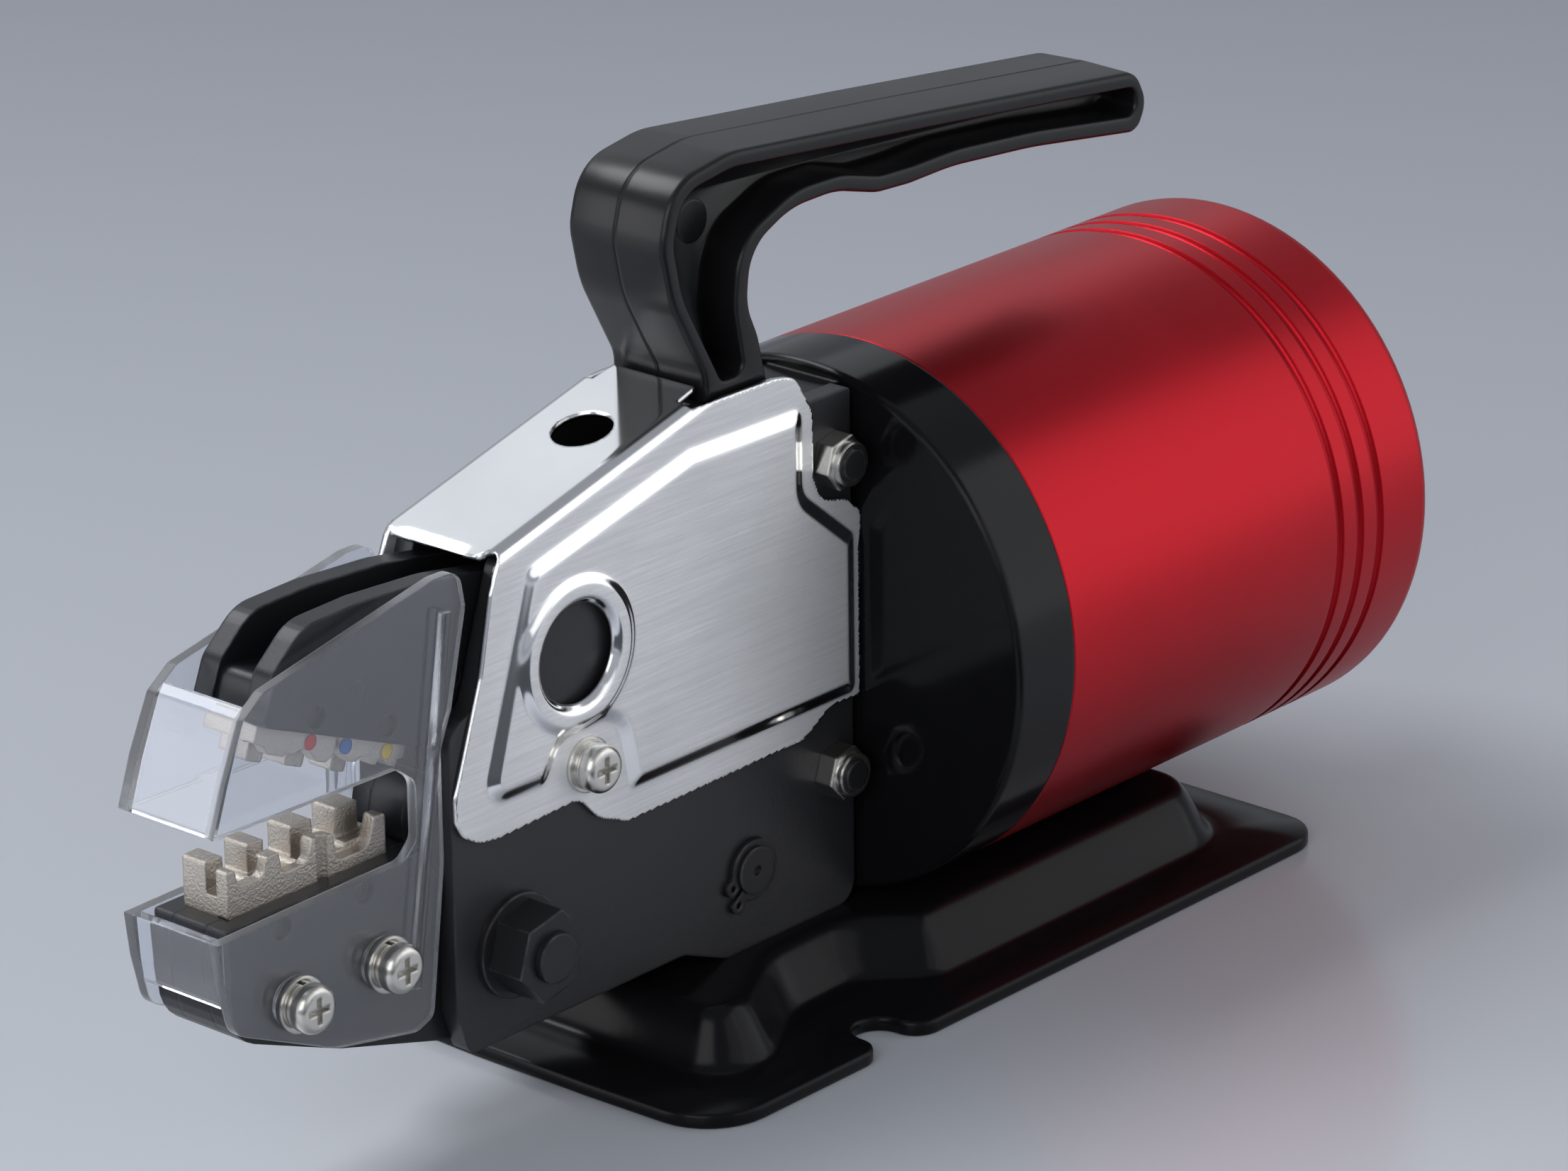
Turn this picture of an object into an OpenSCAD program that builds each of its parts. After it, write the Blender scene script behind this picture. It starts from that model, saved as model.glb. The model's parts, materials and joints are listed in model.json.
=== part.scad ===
// Pneumatic crimping tool: a spring-return air cylinder drives a roller fork under a
// cam arm and closes a two-jaw crimping head. Millimetres, +X to the rear, +Z up.

/* [Placement] */
// Height of the cylinder axis over the floor
axis_h = 56.5; // [50:0.5:70]
// Distance from the base notches back to the cap's front face
cap_x = 22.5; // [18:0.5:30]

/* [Base] */
// Thickness of the base sheet
base_t = 2.5; // [1.5:0.1:4]
// Half of the base's width
base_half = 39; // [36:0.5:45]
// Width of the base notches, for M8 bolts
notch_w = 8.6; // [8.4:0.1:9.5]
// Distance of each notch's end centre from the middle
notch_y = 30; // [28:0.5:32]

/* [Cylinder] */
// Outer radius of the barrel and cap
barrel_r = 45; // [40:0.5:50]
// Thickness of the barrel's side wall
side_wall = 5; // [3:0.5:9]
// Thickness of the front cap
cap_t = 13.5; // [10:0.5:18]
// Rear end of the barrel, from the cap's front face
barrel_end = 109.2; // [100:0.1:120]
// Thickness of the barrel's rear wall
rear_wall = 8; // [6:0.5:12]
// Radius of the piston rod
rod_r = 7; // [5:0.1:7.2]
// Position of the piston's front face, open
piston_x = 72.5; // [70:0.5:74]
// Thickness of the piston
piston_t = 18; // [14:0.5:19]
// Depth of the barrel's rear grooves
groove_d = 1; // [0.5:0.1:2]

/* [Head frame] */
// Inner half distance between the side plates
gap_half = 7.5; // [7.2:0.1:9]
// Thickness of each side plate
plate_t = 3.5; // [3:0.1:3.5]
// Thickness of the steel cover's sheet
cover_t = 1; // [0.8:0.1:1.5]
// How far the cover's panel stands out
emboss = 0.8; // [0.4:0.1:1.5]

/* [Jaws] */
// Pivot of the upper jaw along X
piv_x = -86; // [-87:0.1:-85]
// Pivot of the upper jaw along Z
piv_z = -3; // [-4:0.1:-2]
// Opening angle of the upper jaw
jaw_open = 22; // [18:0.5:22]
// Piston stroke that closes the jaw
stroke = 32; // [28:0.5:32]
// Radius of the jaw hub
hub_r = 11; // [10:0.1:11]
// Half thickness of the jaw cores and the cam arm
core_half = 3.5; // [3:0.1:3.5]
// Half thickness of the dies
die_half = 4.65; // [4:0.05:5]
// Length of the dies
die_len = 33.2; // [30:0.1:34]

/* [Roller fork] */
// Radius of the rollers
roller_r = 8; // [7:0.1:8]
// Distance of each roller's axis from the rod's axis
roller_z = 8.5; // [8.2:0.1:9]
// Roller axis along X, open
roller_x = -30; // [-31:0.5:-29]
// Clearance between a roller and the cam or track
roll_gap = 0.05; // [0.02:0.01:0.2]
// Radius of the roller pins
rpin_r = 3; // [2.5:0.1:3.5]

/* [Handle and guard] */
// Half width of the handle
handle_half = 10; // [8:0.5:11]
// Depth of the recess in each side of the handle
handle_pocket = 8; // [4:0.5:9]
// Outer half width of the guard
guard_half = 10; // [9.8:0.1:10.5]
// Wall thickness of the guard
guard_t = 1.8; // [1.2:0.1:1.9]

/* [Air inlet] */
// Radius of the hose socket, for an 8 mm tube
tube_r = 4.05; // [2:0.05:5]

/* [Hidden] */
$fn = 72;
bore_r = barrel_r - side_wall;
flange_z = base_t - axis_h;
// The barrel rests on the base's raised platform
top_z = -barrel_r;
plat_h = top_z - flange_z;
plate_y = gap_half + plate_t;
cov_in = plate_y + 0.05;
cov_out = cov_in + cover_t;
jaw_out = 7.2;
low_out = gap_half - 0.05;
fork_in = core_half + 0.3;
fork_out = gap_half - 0.5;
track_z = -roller_z - roller_r;
fit = 0.05;
// Top of the foot block, just under the lower jaw
foot_top = -37.4;
m8 = [-80.8, -26];
tail = [-26.5, -31.3];
m5 = [[-6.3, 32.6], [-6.3, -20.4]];
cov_screw = [-65.1, -0.9];
guard_screw = [[-126.4, -20.6], [-107.7, -20.5]];
die_x0 = -135;
low_seat = -5.8;
up_seat = 5.7;
C_BLACK = [0.10, 0.10, 0.11];
C_DARK = [0.17, 0.17, 0.18];
C_RED = [0.68, 0.07, 0.10];
C_STEEL = [0.78, 0.79, 0.80];
C_DIE = [0.72, 0.68, 0.63];
C_CLEAR = [0.85, 0.88, 0.90, 0.35];
C_RUB = [0.06, 0.06, 0.06];

function unit(v) = v / norm(v);
// Arc points that round the corner b between a and c
function corner(a, b, c, r, n) =
  r <= 0 ? [b] :
  let (u = unit(a - b), v = unit(c - b), h = acos(u * v) / 2,
       m = b + unit(u + v) * r / sin(h), p = b + u * r / tan(h), q = b + v * r / tan(h),
       a0 = atan2(p[1] - m[1], p[0] - m[0]), t = atan2(q[1] - m[1], q[0] - m[0]) - a0,
       s = t > 180 ? t - 360 : t < -180 ? t + 360 : t)
  [for (i = [0 : n]) m + r * [cos(a0 + s * i / n), sin(a0 + s * i / n)]];
function xy(p) = [p[0], p[1]];
// Outline with its corners rounded; each entry is [x, z, radius]
function rounded(P, n = 5) = [for (i = [0 : len(P) - 1])
  each corner(xy(P[(i + len(P) - 1) % len(P)]), xy(P[i]), xy(P[(i + 1) % len(P)]),
              P[i][2] == undef ? 0 : P[i][2], n)];
function left(u) = [-u[1], u[0]];
// Control outline moved inwards by d; the outline runs counter-clockwise
function inset(P, d) = [for (i = [0 : len(P) - 1])
  let (a = unit(xy(P[i]) - xy(P[(i + len(P) - 1) % len(P)])),
       b = unit(xy(P[(i + 1) % len(P)]) - xy(P[i])),
       m = (left(a) + left(b)) * d / (1 + left(a) * left(b)),
       turn = a[0] * b[1] - a[1] * b[0], r = P[i][2] == undef ? 0 : P[i][2])
  [P[i][0] + m[0], P[i][1] + m[1], r <= 0 ? 0 : max(0.4, turn > 0 ? r - d : r + d)]];
function flip(P) = [for (i = [len(P) - 1 : -1 : 0]) [P[i][0], -P[i][1], P[i][2]]];
// Roller centre at piston travel s, seen from the closed jaw
function turned(v, a) = [v[0] * cos(a) - v[1] * sin(a), v[0] * sin(a) + v[1] * cos(a)];
piv = [piv_x, piv_z];
function path(s) = piv + turned([roller_x - s, roller_z] - piv, jaw_open * (1 - s / stroke));
// Point of the cam that touches the upper roller at travel s
function cam(s) = let (t = unit(path(s + 0.01) - path(s - 0.01)))
  path(s) + (roller_r + roll_gap) * [t[1], -t[0]];

module at_axis() translate([cap_x, 0, axis_h]) children();
module opened() translate([piv_x, 0, piv_z]) rotate([0, jaw_open, 0])
  translate([-piv_x, 0, -piv_z]) children();
module both() { children(); mirror([0, 1, 0]) children(); }
module slab(P, y0, y1) translate([0, y1, 0]) rotate([90, 0, 0]) linear_extrude(y1 - y0) polygon(P);
module bar(p, r, y0, y1) translate([p[0], y1, p[1]]) rotate([90, 0, 0]) cylinder(h = y1 - y0, r = r);
module hex(p, af, y0, y1) translate([p[0], y1, p[1]]) rotate([90, 0, 0])
  rotate([0, 0, 12]) cylinder(h = y1 - y0, r = af / sqrt(3), $fn = 6);
module xrod(x0, x1, r) translate([x0, 0, 0]) rotate([0, 90, 0]) cylinder(h = x1 - x0, r = r);
module ring(p, r1, r2, y0, y1) difference() { bar(p, r2, y0, y1); bar(p, r1, y0 - 1, y1 + 1); }
module box(a, b) translate(a) cube(b - a);

base_line = [[-67.3, -base_half + 27], [-66.4, -base_half, 11.5],
  [-22.5 - notch_w / 2, -base_half, 4], [-22.5 - notch_w / 2, -notch_y],
  [-22.5 + notch_w / 2, -notch_y], [-22.5 + notch_w / 2, -base_half, 7],
  [89.5, -base_half, 8]];
foot_line = [[-55, -29.3, 10], [-41, -29.3, 12], [-26, -20, 15], [-11.5, -19.5, 9],
  [-1.5, -29.3, 7.5], [80, -29.3, 14]];
foot_all = concat(foot_line, flip(foot_line));
// How far the platform's wall leans in, and its profile from foot to top
shoulder = 6.8;
wall = [[0, 0], [0.16, 0.08], [0.29, 0.26], [0.43, 0.5], [0.57, 0.74], [0.76, 0.93], [1.06, 1.03]];
module loft(R, Z) {
  n = len(R[0]); m = len(R);
  pts = [for (k = [0 : m - 1]) for (p = R[k]) [p[0], p[1], Z[k]]];
  faces = concat([[for (i = [0 : n - 1]) i]],
    [for (k = [0 : m - 2]) for (i = [0 : n - 1]) let (j = (i + 1) % n)
      each [[k * n + i, (k + 1) * n + i, k * n + j], [k * n + j, (k + 1) * n + i, (k + 1) * n + j]]],
    [[for (i = [n - 1 : -1 : 0]) (m - 1) * n + i]]);
  polyhedron(pts, faces);
}
module base_plate() color(C_BLACK) at_axis() difference() {
  union() {
    translate([0, 0, -axis_h]) linear_extrude(base_t) difference() {
      polygon(rounded(concat(base_line, flip(base_line))));
      for (s = [-1, 1]) translate([-22.5, s * notch_y]) circle(r = notch_w / 2);
    }
    intersection() {
      loft([for (w = wall) rounded(inset(foot_all, shoulder * w[0]), 4)],
        [for (w = wall) flange_z - (w[1] == 0 ? 0.5 : 0) + plat_h * w[1]]);
      box([-100, -60, -axis_h], [120, 60, top_z]);
    }
  }
  intersection() {
    loft([for (w = wall) rounded(inset(foot_all, 2.2 + shoulder * w[0]), 4)],
      [for (w = wall) -axis_h - (w[1] == 0 ? 1 : 0) + plat_h * w[1]]);
    box([-100, -60, -axis_h - 2], [120, 60, top_z - base_t]);
  }
  for (x = [-28, -13, cap_t / 2]) translate([x, 0, top_z - 10]) cylinder(h = 20, r = 3.1);
}
module foot_block() color(C_DARK) at_axis() difference() {
  box([-34, -low_out, top_z], [-7, low_out, foot_top]);
  for (x = [-28, -13]) translate([x, 0, top_z - 1]) cylinder(h = 20, r = 2.95);
}
module base_screws() color(C_DARK) at_axis() for (x = [-28, -13, cap_t / 2])
  translate([x, 0, 0]) difference() {
    union() {
      translate([0, 0, top_z - base_t - 3.4]) cylinder(h = 3.4, r = 5);
      translate([0, 0, top_z - base_t]) cylinder(h = (x > 0 ? top_z + 12 : foot_top - 0.4) - top_z + base_t, r = 2.9);
    }
    translate([0, 0, top_z - base_t - 4]) cylinder(h = 2.6, r = 4 / sqrt(3), $fn = 6);
  }

plate_line = [[-94, -33.5, 4], [-91.5, -41, 2], [-42.5, -41, 5], [-32.5, top_z, 5], [-1.2, top_z, 4],
  [-1.2, 43.2, 0.8], [-14.2, 43.2, 2], [-18.6, 48.5, 2], [-37.8, 48.5, 1], [-81, 37, 4],
  [-88.6, 14.6, 3], [-94, 13.2, 5]];
module side_plate() difference() {
  slab(rounded(plate_line), gap_half, plate_y);
  bar(m8, 4.1, 0, 20);
  bar(tail, 4.05, 0, 20);
  bar(piv, 4.05, 0, 20);
  bar(cov_screw, 2.05, 0, 20);
  for (p = m5) bar(p, 2.6, 0, 20);
  for (p = [[-30.5, 42.5], [-23.5, 41]]) bar(p, 2.05, 0, 20);
}
module side_plate_right() color(C_DARK) at_axis() side_plate();
module side_plate_left() color(C_DARK) at_axis() mirror([0, 1, 0]) side_plate();

module front_cap() color(C_BLACK) at_axis() difference() {
  union() {
    rotate([0, 90, 0]) rotate_extrude() polygon(rounded([[0, 0], [barrel_r, 0, 1], [barrel_r, cap_t],
      [bore_r - fit, cap_t], [bore_r - fit, cap_t + 6, 0.6], [0, cap_t + 6]]));
    box([-15.5, -low_out, 26], [0.01, low_out, 42.8]);
    box([-15.5, -low_out, -27], [0.01, low_out, -11.5]);
  }
  rotate([0, 90, 0]) translate([0, 0, -1]) cylinder(h = 40, r = rod_r + 0.3);
  xrod(2, 12, 9.05);
  xrod(12, 18, 10.05);
  xrod(18, 30, 9.4);
  for (p = m5) bar(p, 2.55, -20, 20);
  rotate([0, 90, 0]) rotate_extrude() translate([bore_r - 2.4, cap_t + 1.6]) square([4, 2.6]);
  translate([-1, -22, -17]) rotate([0, 90, 0]) cylinder(h = 1.4, r = 3.4);
  translate([cap_t / 2, 0, -barrel_r - 15]) cylinder(h = 27.3, r = 2.95);
}
module barrel_seal() color(C_RUB) at_axis() translate([cap_t + 2.9, 0, 0]) rotate([0, 90, 0])
  rotate_extrude() translate([bore_r - 1.2, 0]) circle(r = 1.15, $fn = 24);
module cylinder_barrel() color(C_RED) at_axis() difference() {
  rotate([0, 90, 0]) rotate_extrude() polygon(rounded([[0, cap_t + 0.02], [barrel_r, cap_t + 0.02, 0.4],
    [barrel_r, barrel_end, 2.5], [0, barrel_end]]));
  xrod(cap_t - 1, barrel_end - rear_wall, bore_r);
  for (x = [83.8, 89.3, 94.8]) rotate([0, 90, 0]) rotate_extrude()
    translate([barrel_r + 1 - groove_d, x]) circle(r = 1, $fn = 32);
  xrod(barrel_end - rear_wall - 1, barrel_end + 1, 6.55);
}
module rod_bush() color([0.62, 0.50, 0.25]) at_axis() difference() { xrod(2.2, 11.8, 9); xrod(0, 20, rod_r + 0.04); }
module rod_seal() color(C_RUB) at_axis() difference() { xrod(12.2, 17.8, 10); xrod(0, 20, rod_r + 0.06); }
module air_fitting() color([0.75, 0.62, 0.32]) at_axis() difference() {
  union() {
    xrod(barrel_end - rear_wall + 0.5, barrel_end, 6.5);
    translate([barrel_end, 0, 0]) rotate([0, 90, 0]) cylinder(h = 6.5, r = 14 / sqrt(3), $fn = 6);
    xrod(barrel_end + 6.5, barrel_end + 17, 6.9);
  }
  xrod(barrel_end - rear_wall - 1, barrel_end + 20, 3);
  xrod(barrel_end + 1, barrel_end + 20, tube_r);
  xrod(barrel_end + 12, barrel_end + 20, 5.6);
}
module fitting_release_ring() color([0.12, 0.25, 0.6]) at_axis() difference() {
  union() {
    xrod(barrel_end + 13.5, barrel_end + 18.5, 5.5);
    xrod(barrel_end + 18.5, barrel_end + 19.7, 6.4);
  }
  xrod(barrel_end, barrel_end + 25, tube_r);
}

module piston() color([0.7, 0.7, 0.72]) at_axis() difference() {
  xrod(piston_x, piston_x + piston_t, bore_r - 0.25);
  xrod(piston_x - 1, piston_x + 3, 24);
  xrod(piston_x - 1, piston_x + 30, 5.05);
  rotate([0, 90, 0]) rotate_extrude() translate([bore_r - 4, piston_x + 4]) square([6, 4]);
  rotate([0, 90, 0]) rotate_extrude() translate([bore_r - 2.2, piston_x + 11]) square([6, 4]);
}
module piston_seal() color(C_RUB) at_axis() rotate([0, 90, 0]) rotate_extrude()
  translate([bore_r - 3.9, piston_x + 4.1]) square([3.85, 3.8]);
module piston_wear_ring() color([0.85, 0.83, 0.75]) at_axis() rotate([0, 90, 0]) rotate_extrude()
  translate([bore_r - 2.15, piston_x + 11.1]) square([2.1, 3.8]);
module piston_nut() color(C_STEEL) at_axis() difference() {
  translate([piston_x + piston_t, 0, 0]) rotate([0, 90, 0]) cylinder(h = 6, r = 16 / sqrt(3), $fn = 6);
  xrod(piston_x, piston_x + 40, 5.02);
}
module piston_rod() color(C_STEEL) at_axis() union() {
  xrod(-16.5, piston_x + 3, rod_r);
  xrod(-21.4, -16, 5);
  xrod(piston_x + 2, piston_x + piston_t + 7, 5);
}
fork_line = [[-39.5, -14.5, 6], [-16.5, -14.5, 1], [-16.5, 14.5, 1], [-39.5, 14.5, 6]];
module rod_fork() color(C_STEEL) at_axis() difference() {
  union() {
    slab(rounded(fork_line), fork_in, fork_out);
    slab(rounded(fork_line), -fork_out, -fork_in);
    box([-21.5, -fork_out, -14.5], [-16.5, fork_out, 14.5]);
  }
  xrod(-30, -16, 5.05);
  for (s = [-1, 1]) bar([roller_x, s * roller_z], rpin_r + 0.02, -20, 20);
}
module roller_pins() color(C_STEEL) at_axis() for (s = [-1, 1])
  bar([roller_x, s * roller_z], rpin_r, -fork_out, fork_out);
module roller(s) difference() {
  bar([roller_x, s * roller_z], roller_r, -3.4, 3.4);
  bar([roller_x, s * roller_z], rpin_r + 0.05, -5, 5);
}
module upper_roller() color(C_STEEL) at_axis() roller(1);
module lower_roller() color(C_STEEL) at_axis() roller(-1);
// Return spring, a round wire wound by formula
sp_r = 20; wire = 1.6; turns = 5; sp_0 = cap_t + 6 + wire + 0.1; sp_1 = piston_x + 3 - wire - 0.1;
module return_spring() color(C_STEEL) at_axis() {
  n = 22 * turns; k = 8;
  pts = [for (i = [0 : n]) let (a = 360 * turns * i / n, x = sp_0 + (sp_1 - sp_0) * i / n)
    for (j = [0 : k - 1]) let (b = 360 * j / k, q = sp_r + wire * cos(b)) [x + wire * sin(b), q * cos(a), q * sin(a)]];
  faces = concat([[for (j = [0 : k - 1]) j]],
    [for (i = [0 : n - 1]) for (j = [0 : k - 1]) let (c = i * k + j, d = i * k + (j + 1) % k)
      each [[c, c + k, d], [d, c + k, d + k]]], [[for (j = [k - 1 : -1 : 0]) n * k + j]]);
  polyhedron(pts, faces);
}

// Upper jaw outline, drawn with the jaw closed
jaw_line = [[-136.4, up_seat, 1], [-101.3, up_seat, 0.5], [-96.5, 1.5], [-79.5, 5.5], [-75.6, 17.1],
  [-67.5, 29.4], [-63.9, 38.3, 2], [-86.5, 35.6, 12], [-106.3, 31.1, 25], [-120.9, 26.2, 20],
  [-132.3, 21.2, 8], [-136.4, 13.2, 4]];
tongue = 5.4;
pin_r = 1.8;
module up_pins(r, y) for (x = [-125.7, -109.6]) bar([x, up_seat + 2.5], r, -y, y);
module upper_cheek() difference() {
  union() { slab(rounded(jaw_line), core_half, jaw_out); bar(piv, hub_r, core_half, jaw_out); }
  bar(piv, 4.05, -20, 20);
  up_pins(pin_r + fit, 20);
  for (p = rivets) bar(p, 1.55, -20, 20);
}
rivets = [[-118, 13], [-97, 16.5], [-83, 20], [-74, 26.5]];
module upper_jaw_cheek_right() color(C_DARK) at_axis() opened() upper_cheek();
module upper_jaw_cheek_left() color(C_DARK) at_axis() opened() mirror([0, 1, 0]) upper_cheek();
arm_line = concat([[-40.7, 42.3], [-63.9, 38.3], [-72, 31.5], [-86, 25.5], [-86, 7], [-79, 3]],
  [for (s = [stroke + 3 : -2.5 : -3]) cam(s)]);
// The core stays low between the cheeks, so the jaw has a groove along its top
core_line = [[-135.6, up_seat, 0.5], [-101.3, up_seat, 0.5], [-96.5, 1.5], [-79.5, 5.5], [-75.6, 17.1], [-67.5, 29.4],
  [-63.9, 38.3], [-72, 31.5, 10], [-88, 25, 10], [-105, 18.6, 20], [-121, 15.6, 20], [-135.6, 12.8, 2]];
module upper_jaw_arm() color(C_DARK) at_axis() opened() difference() {
  union() {
    slab(rounded(core_line), -core_half, core_half);
    bar(piv, hub_r, -core_half, core_half);
    slab(arm_line, -core_half, core_half);
  }
  bar(piv, 4.05, -20, 20);
  box([die_x0 + 1.9, -20, up_seat - 1], [die_x0 + die_len - 1.9, 20, up_seat + tongue + fit]);
  for (p = rivets) bar(p, 1.55, -20, 20);
}
module jaw_rivets() color(C_STEEL) at_axis() opened() for (p = rivets) bar(p, 1.5, -jaw_out, jaw_out);
module pivot_pin() color(C_STEEL) at_axis() bar(piv, 4, -plate_y, plate_y);

low_line = [[-138.5, low_seat, 0.6], [-138.5, -23.5, 8], [-115.9, -32.4, 20], [-92.6, -39.1, 14],
  [-84, -40, 2], [-42, -40, 1], [-37, -37, 1], [-18, -37, 2], [-18, -17.5], [-74, -17.5, 1],
  [-77, -9], [-98, low_seat, 0.5]];
low_riv = [[-120, -25], [-60, -31], [-45, -24]];
module low_pins(r, y) for (x = [-127.5, -110]) bar([x, low_seat - 2.8], r, -y, y);
module lower_cuts() {
  bar(piv, hub_r + 0.5, -20, 20);
  bar(m8, 4.1, -20, 20);
  bar(tail, 4.05, -20, 20);
  for (p = low_riv) bar(p, 1.55, -20, 20);
}
module lower_cheek() difference() {
  slab(rounded(low_line), core_half, low_out);
  lower_cuts();
  low_pins(pin_r + fit, 20);
  for (p = guard_screw) bar(p, 2.05, 0, 20);
}
module lower_jaw_cheek_right() color(C_DARK) at_axis() lower_cheek();
module lower_jaw_cheek_left() color(C_DARK) at_axis() mirror([0, 1, 0]) lower_cheek();
module lower_jaw_core() color(C_DARK) at_axis() difference() {
  union() {
    slab(rounded(low_line), -core_half, core_half);
    box([-74, -core_half, -30], [-18, core_half, track_z - roll_gap]);
  }
  lower_cuts();
  box([die_x0 + 1.9, -20, low_seat - tongue - fit], [die_x0 + die_len - 1.9, 20, low_seat + 1]);
  for (p = guard_screw) bar(p, 2.05, -20, 20);
}
module lower_jaw_rivets() color(C_STEEL) at_axis() for (p = low_riv) bar(p, 1.5, -low_out, low_out);

// Each die has a near row, a groove and a far row along it: the nests cut the near row
near_y = -2.4;
far_y = -0.15;
near_top = [[-135, 1.8, 0.4], [-133.3, 1.7, 0.4], [-132.8, -1.2, 1.2], [-127.5, -1.2, 1.4], [-126.7, 1.5, 0.4],
  [-124.2, 1.7, 0.4], [-123.6, -2, 1.4], [-118.4, -2, 1.6], [-117.1, 1.5, 0.4], [-112.8, 0.9, 0.4],
  [-112.3, -3.7, 1.5], [-105.4, -3.7, 2.4], [-104, 0.9, 0.5], [-101.8, 0.8, 0.5]];
prong = [[-135, 3.6], [-126.4, 3.4], [-117.4, 4.6], [-108, 4.8]];
module lower_die() color(C_DIE) at_axis() difference() {
  union() {
    slab(rounded(concat(near_top, [[die_x0 + die_len, low_seat, 0.3], [die_x0, low_seat, 0.3]])), -die_half, near_y);
    box([die_x0, near_y - 0.1, low_seat], [die_x0 + die_len, far_y, -2.6]);
    box([die_x0, far_y - 0.1, low_seat], [die_x0 + die_len, die_half, -2.2]);
    for (p = prong) slab(rounded([[p[0], -4], [p[0] + p[1], -4], [p[0] + p[1], 2.3, 0.4], [p[0], 2.3, 0.4]]),
      far_y, die_half);
    box([die_x0 + 2, -core_half, low_seat - tongue], [die_x0 + die_len - 2, core_half, low_seat]);
  }
  for (x = [[-131.4, -126.4], [-123, -117.4], [-112.8, -108]]) slab(rounded([[x[0], 1], [x[0] + 0.2, -3.2, 1],
    [x[1] - 0.2, -3.2, 1], [x[1], 1]]), near_y - 0.5, 5);
  translate([-115.2, -die_half, low_seat - 1]) cylinder(h = 12, r = 1.1);
  low_pins(pin_r + fit, 20);
}
module lower_die_pins() color(C_STEEL) at_axis() low_pins(pin_r, jaw_out - 1);
// Lower edge of the upper die's near row, with its shallow teeth
teeth = [[-135, 2.9], [-132.6, 2.5, 0.5], [-131.4, 1.5, 0.5], [-128.2, 1.4, 0.5], [-127.4, 2, 0.4], [-125.6, 1.95, 0.4],
  [-124.4, 2.9, 0.4], [-122.8, 2.8, 0.4], [-120.6, 1.3, 0.5], [-118.6, 1.3, 0.4], [-117.2, 2.4, 0.4], [-115.4, 2.8, 0.4],
  [-113.4, 1.8, 0.4], [-112, 2, 0.4], [-111.1, 2.8, 0.3], [-109.8, 2.8, 0.3], [-108.6, 1.8, 0.3], [-107.6, 1.8, 0.2],
  [-107.3, 2.7, 0.2], [-106.2, 2.7, 0.3], [-104.6, 1.9, 0.3], [-103.2, 1.9, 0.2], [-103, 3.1, 0.2], [-101.8, 3.4, 0.5]];
module upper_die() color(C_DIE) at_axis() opened() difference() {
  union() {
    slab(rounded(concat(teeth, [[die_x0 + die_len, up_seat, 0.3], [die_x0, up_seat, 0.3]])), -die_half, near_y - 0.2);
    box([die_x0, near_y - 0.3, 2.7], [die_x0 + die_len, die_half, up_seat]);
    for (i = [0 : 2]) slab(rounded([[prong[i][0] + prong[i][1] + 0.7, 3], [prong[i][0] + prong[i][1] + 0.8, -0.6, 0.5],
      [prong[i + 1][0] - 0.8, -0.6, 0.5], [prong[i + 1][0] - 0.7, 3]]), far_y + 0.3, die_half);
    box([die_x0 + 2, -core_half, up_seat], [die_x0 + die_len - 2, core_half, up_seat + tongue]);
  }
  up_pins(pin_r + fit, 20);
  translate([-116.4, -die_half, -1]) cylinder(h = up_seat + 0.9, r = 0.9);
  for (x = dots) bar([x, 4.1], 1.27, -die_half - 1, -die_half + 0.3);
}
dots = [-122.8, -114.9, -105.7];
module dot(i) at_axis() opened() bar([dots[i], 4.1], 1.25, -die_half, -die_half + 0.3);
module dot_red() color([0.85, 0.05, 0.08]) dot(0);
module dot_blue() color([0.1, 0.35, 0.75]) dot(1);
module dot_yellow() color([0.95, 0.8, 0.05]) dot(2);
module upper_die_pins() color(C_STEEL) at_axis() opened() up_pins(pin_r, jaw_out - 1);

module jaw_bolt() color(C_BLACK) at_axis() union() {
  bar(m8, 4, -20.2, cov_out + 0.3);
  hex(m8, 13, cov_out + 0.2, cov_out + 5.5);
}
module jaw_bolt_nut() color(C_BLACK) at_axis() difference() {
  hex(m8, 13, -19, -plate_y - 1.2);
  bar(m8, 4.02, -30, 0);
}
module jaw_bolt_washers() color(C_BLACK) at_axis() both() ring(m8, 4.1, 8.5, plate_y, plate_y + 1.2);
module tail_pin() color(C_DARK) at_axis() difference() {
  bar(tail, 4, -12.6, 12.6);
  both() ring(tail, 3.7, 6, plate_y + 0.05, plate_y + 1.05);
  both() bar(tail, 0.8, 12, 13);
}
module tail_pin_circlips() color(C_DARK) at_axis() both() difference() {
  union() {
    ring(tail, 3.72, 5.2, plate_y + 0.1, plate_y + 1);
    for (s = [-1, 1]) bar([tail[0] - 4.5 - s * 0.6, tail[1] - 3.4 + s * 1.6], 1.5, plate_y + 0.1, plate_y + 1);
  }
  bar(tail, 3.72, 0, 20);
  translate([tail[0], 0, tail[1]]) rotate([0, -37, 0]) box([-9, 0, -0.5], [0, 20, 0.5]);
  for (s = [-1, 1]) bar([tail[0] - 4.5 - s * 0.6, tail[1] - 3.4 + s * 1.6], 0.6, 0, 20);
}
module frame_bolts() color(C_DARK) at_axis() for (p = m5) { bar(p, 2.5, -16.4, plate_y + 0.1); hex(p, 8, plate_y, plate_y + 3.5); }
module lock_nuts() color(C_STEEL) at_axis() for (p = m5) difference() {
  union() { hex(p, 8, -plate_y - 3.6, -plate_y); bar(p, 3.6, -plate_y - 5, -plate_y - 3.5); }
  bar(p, 2.52, -30, 0);
}

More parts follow.
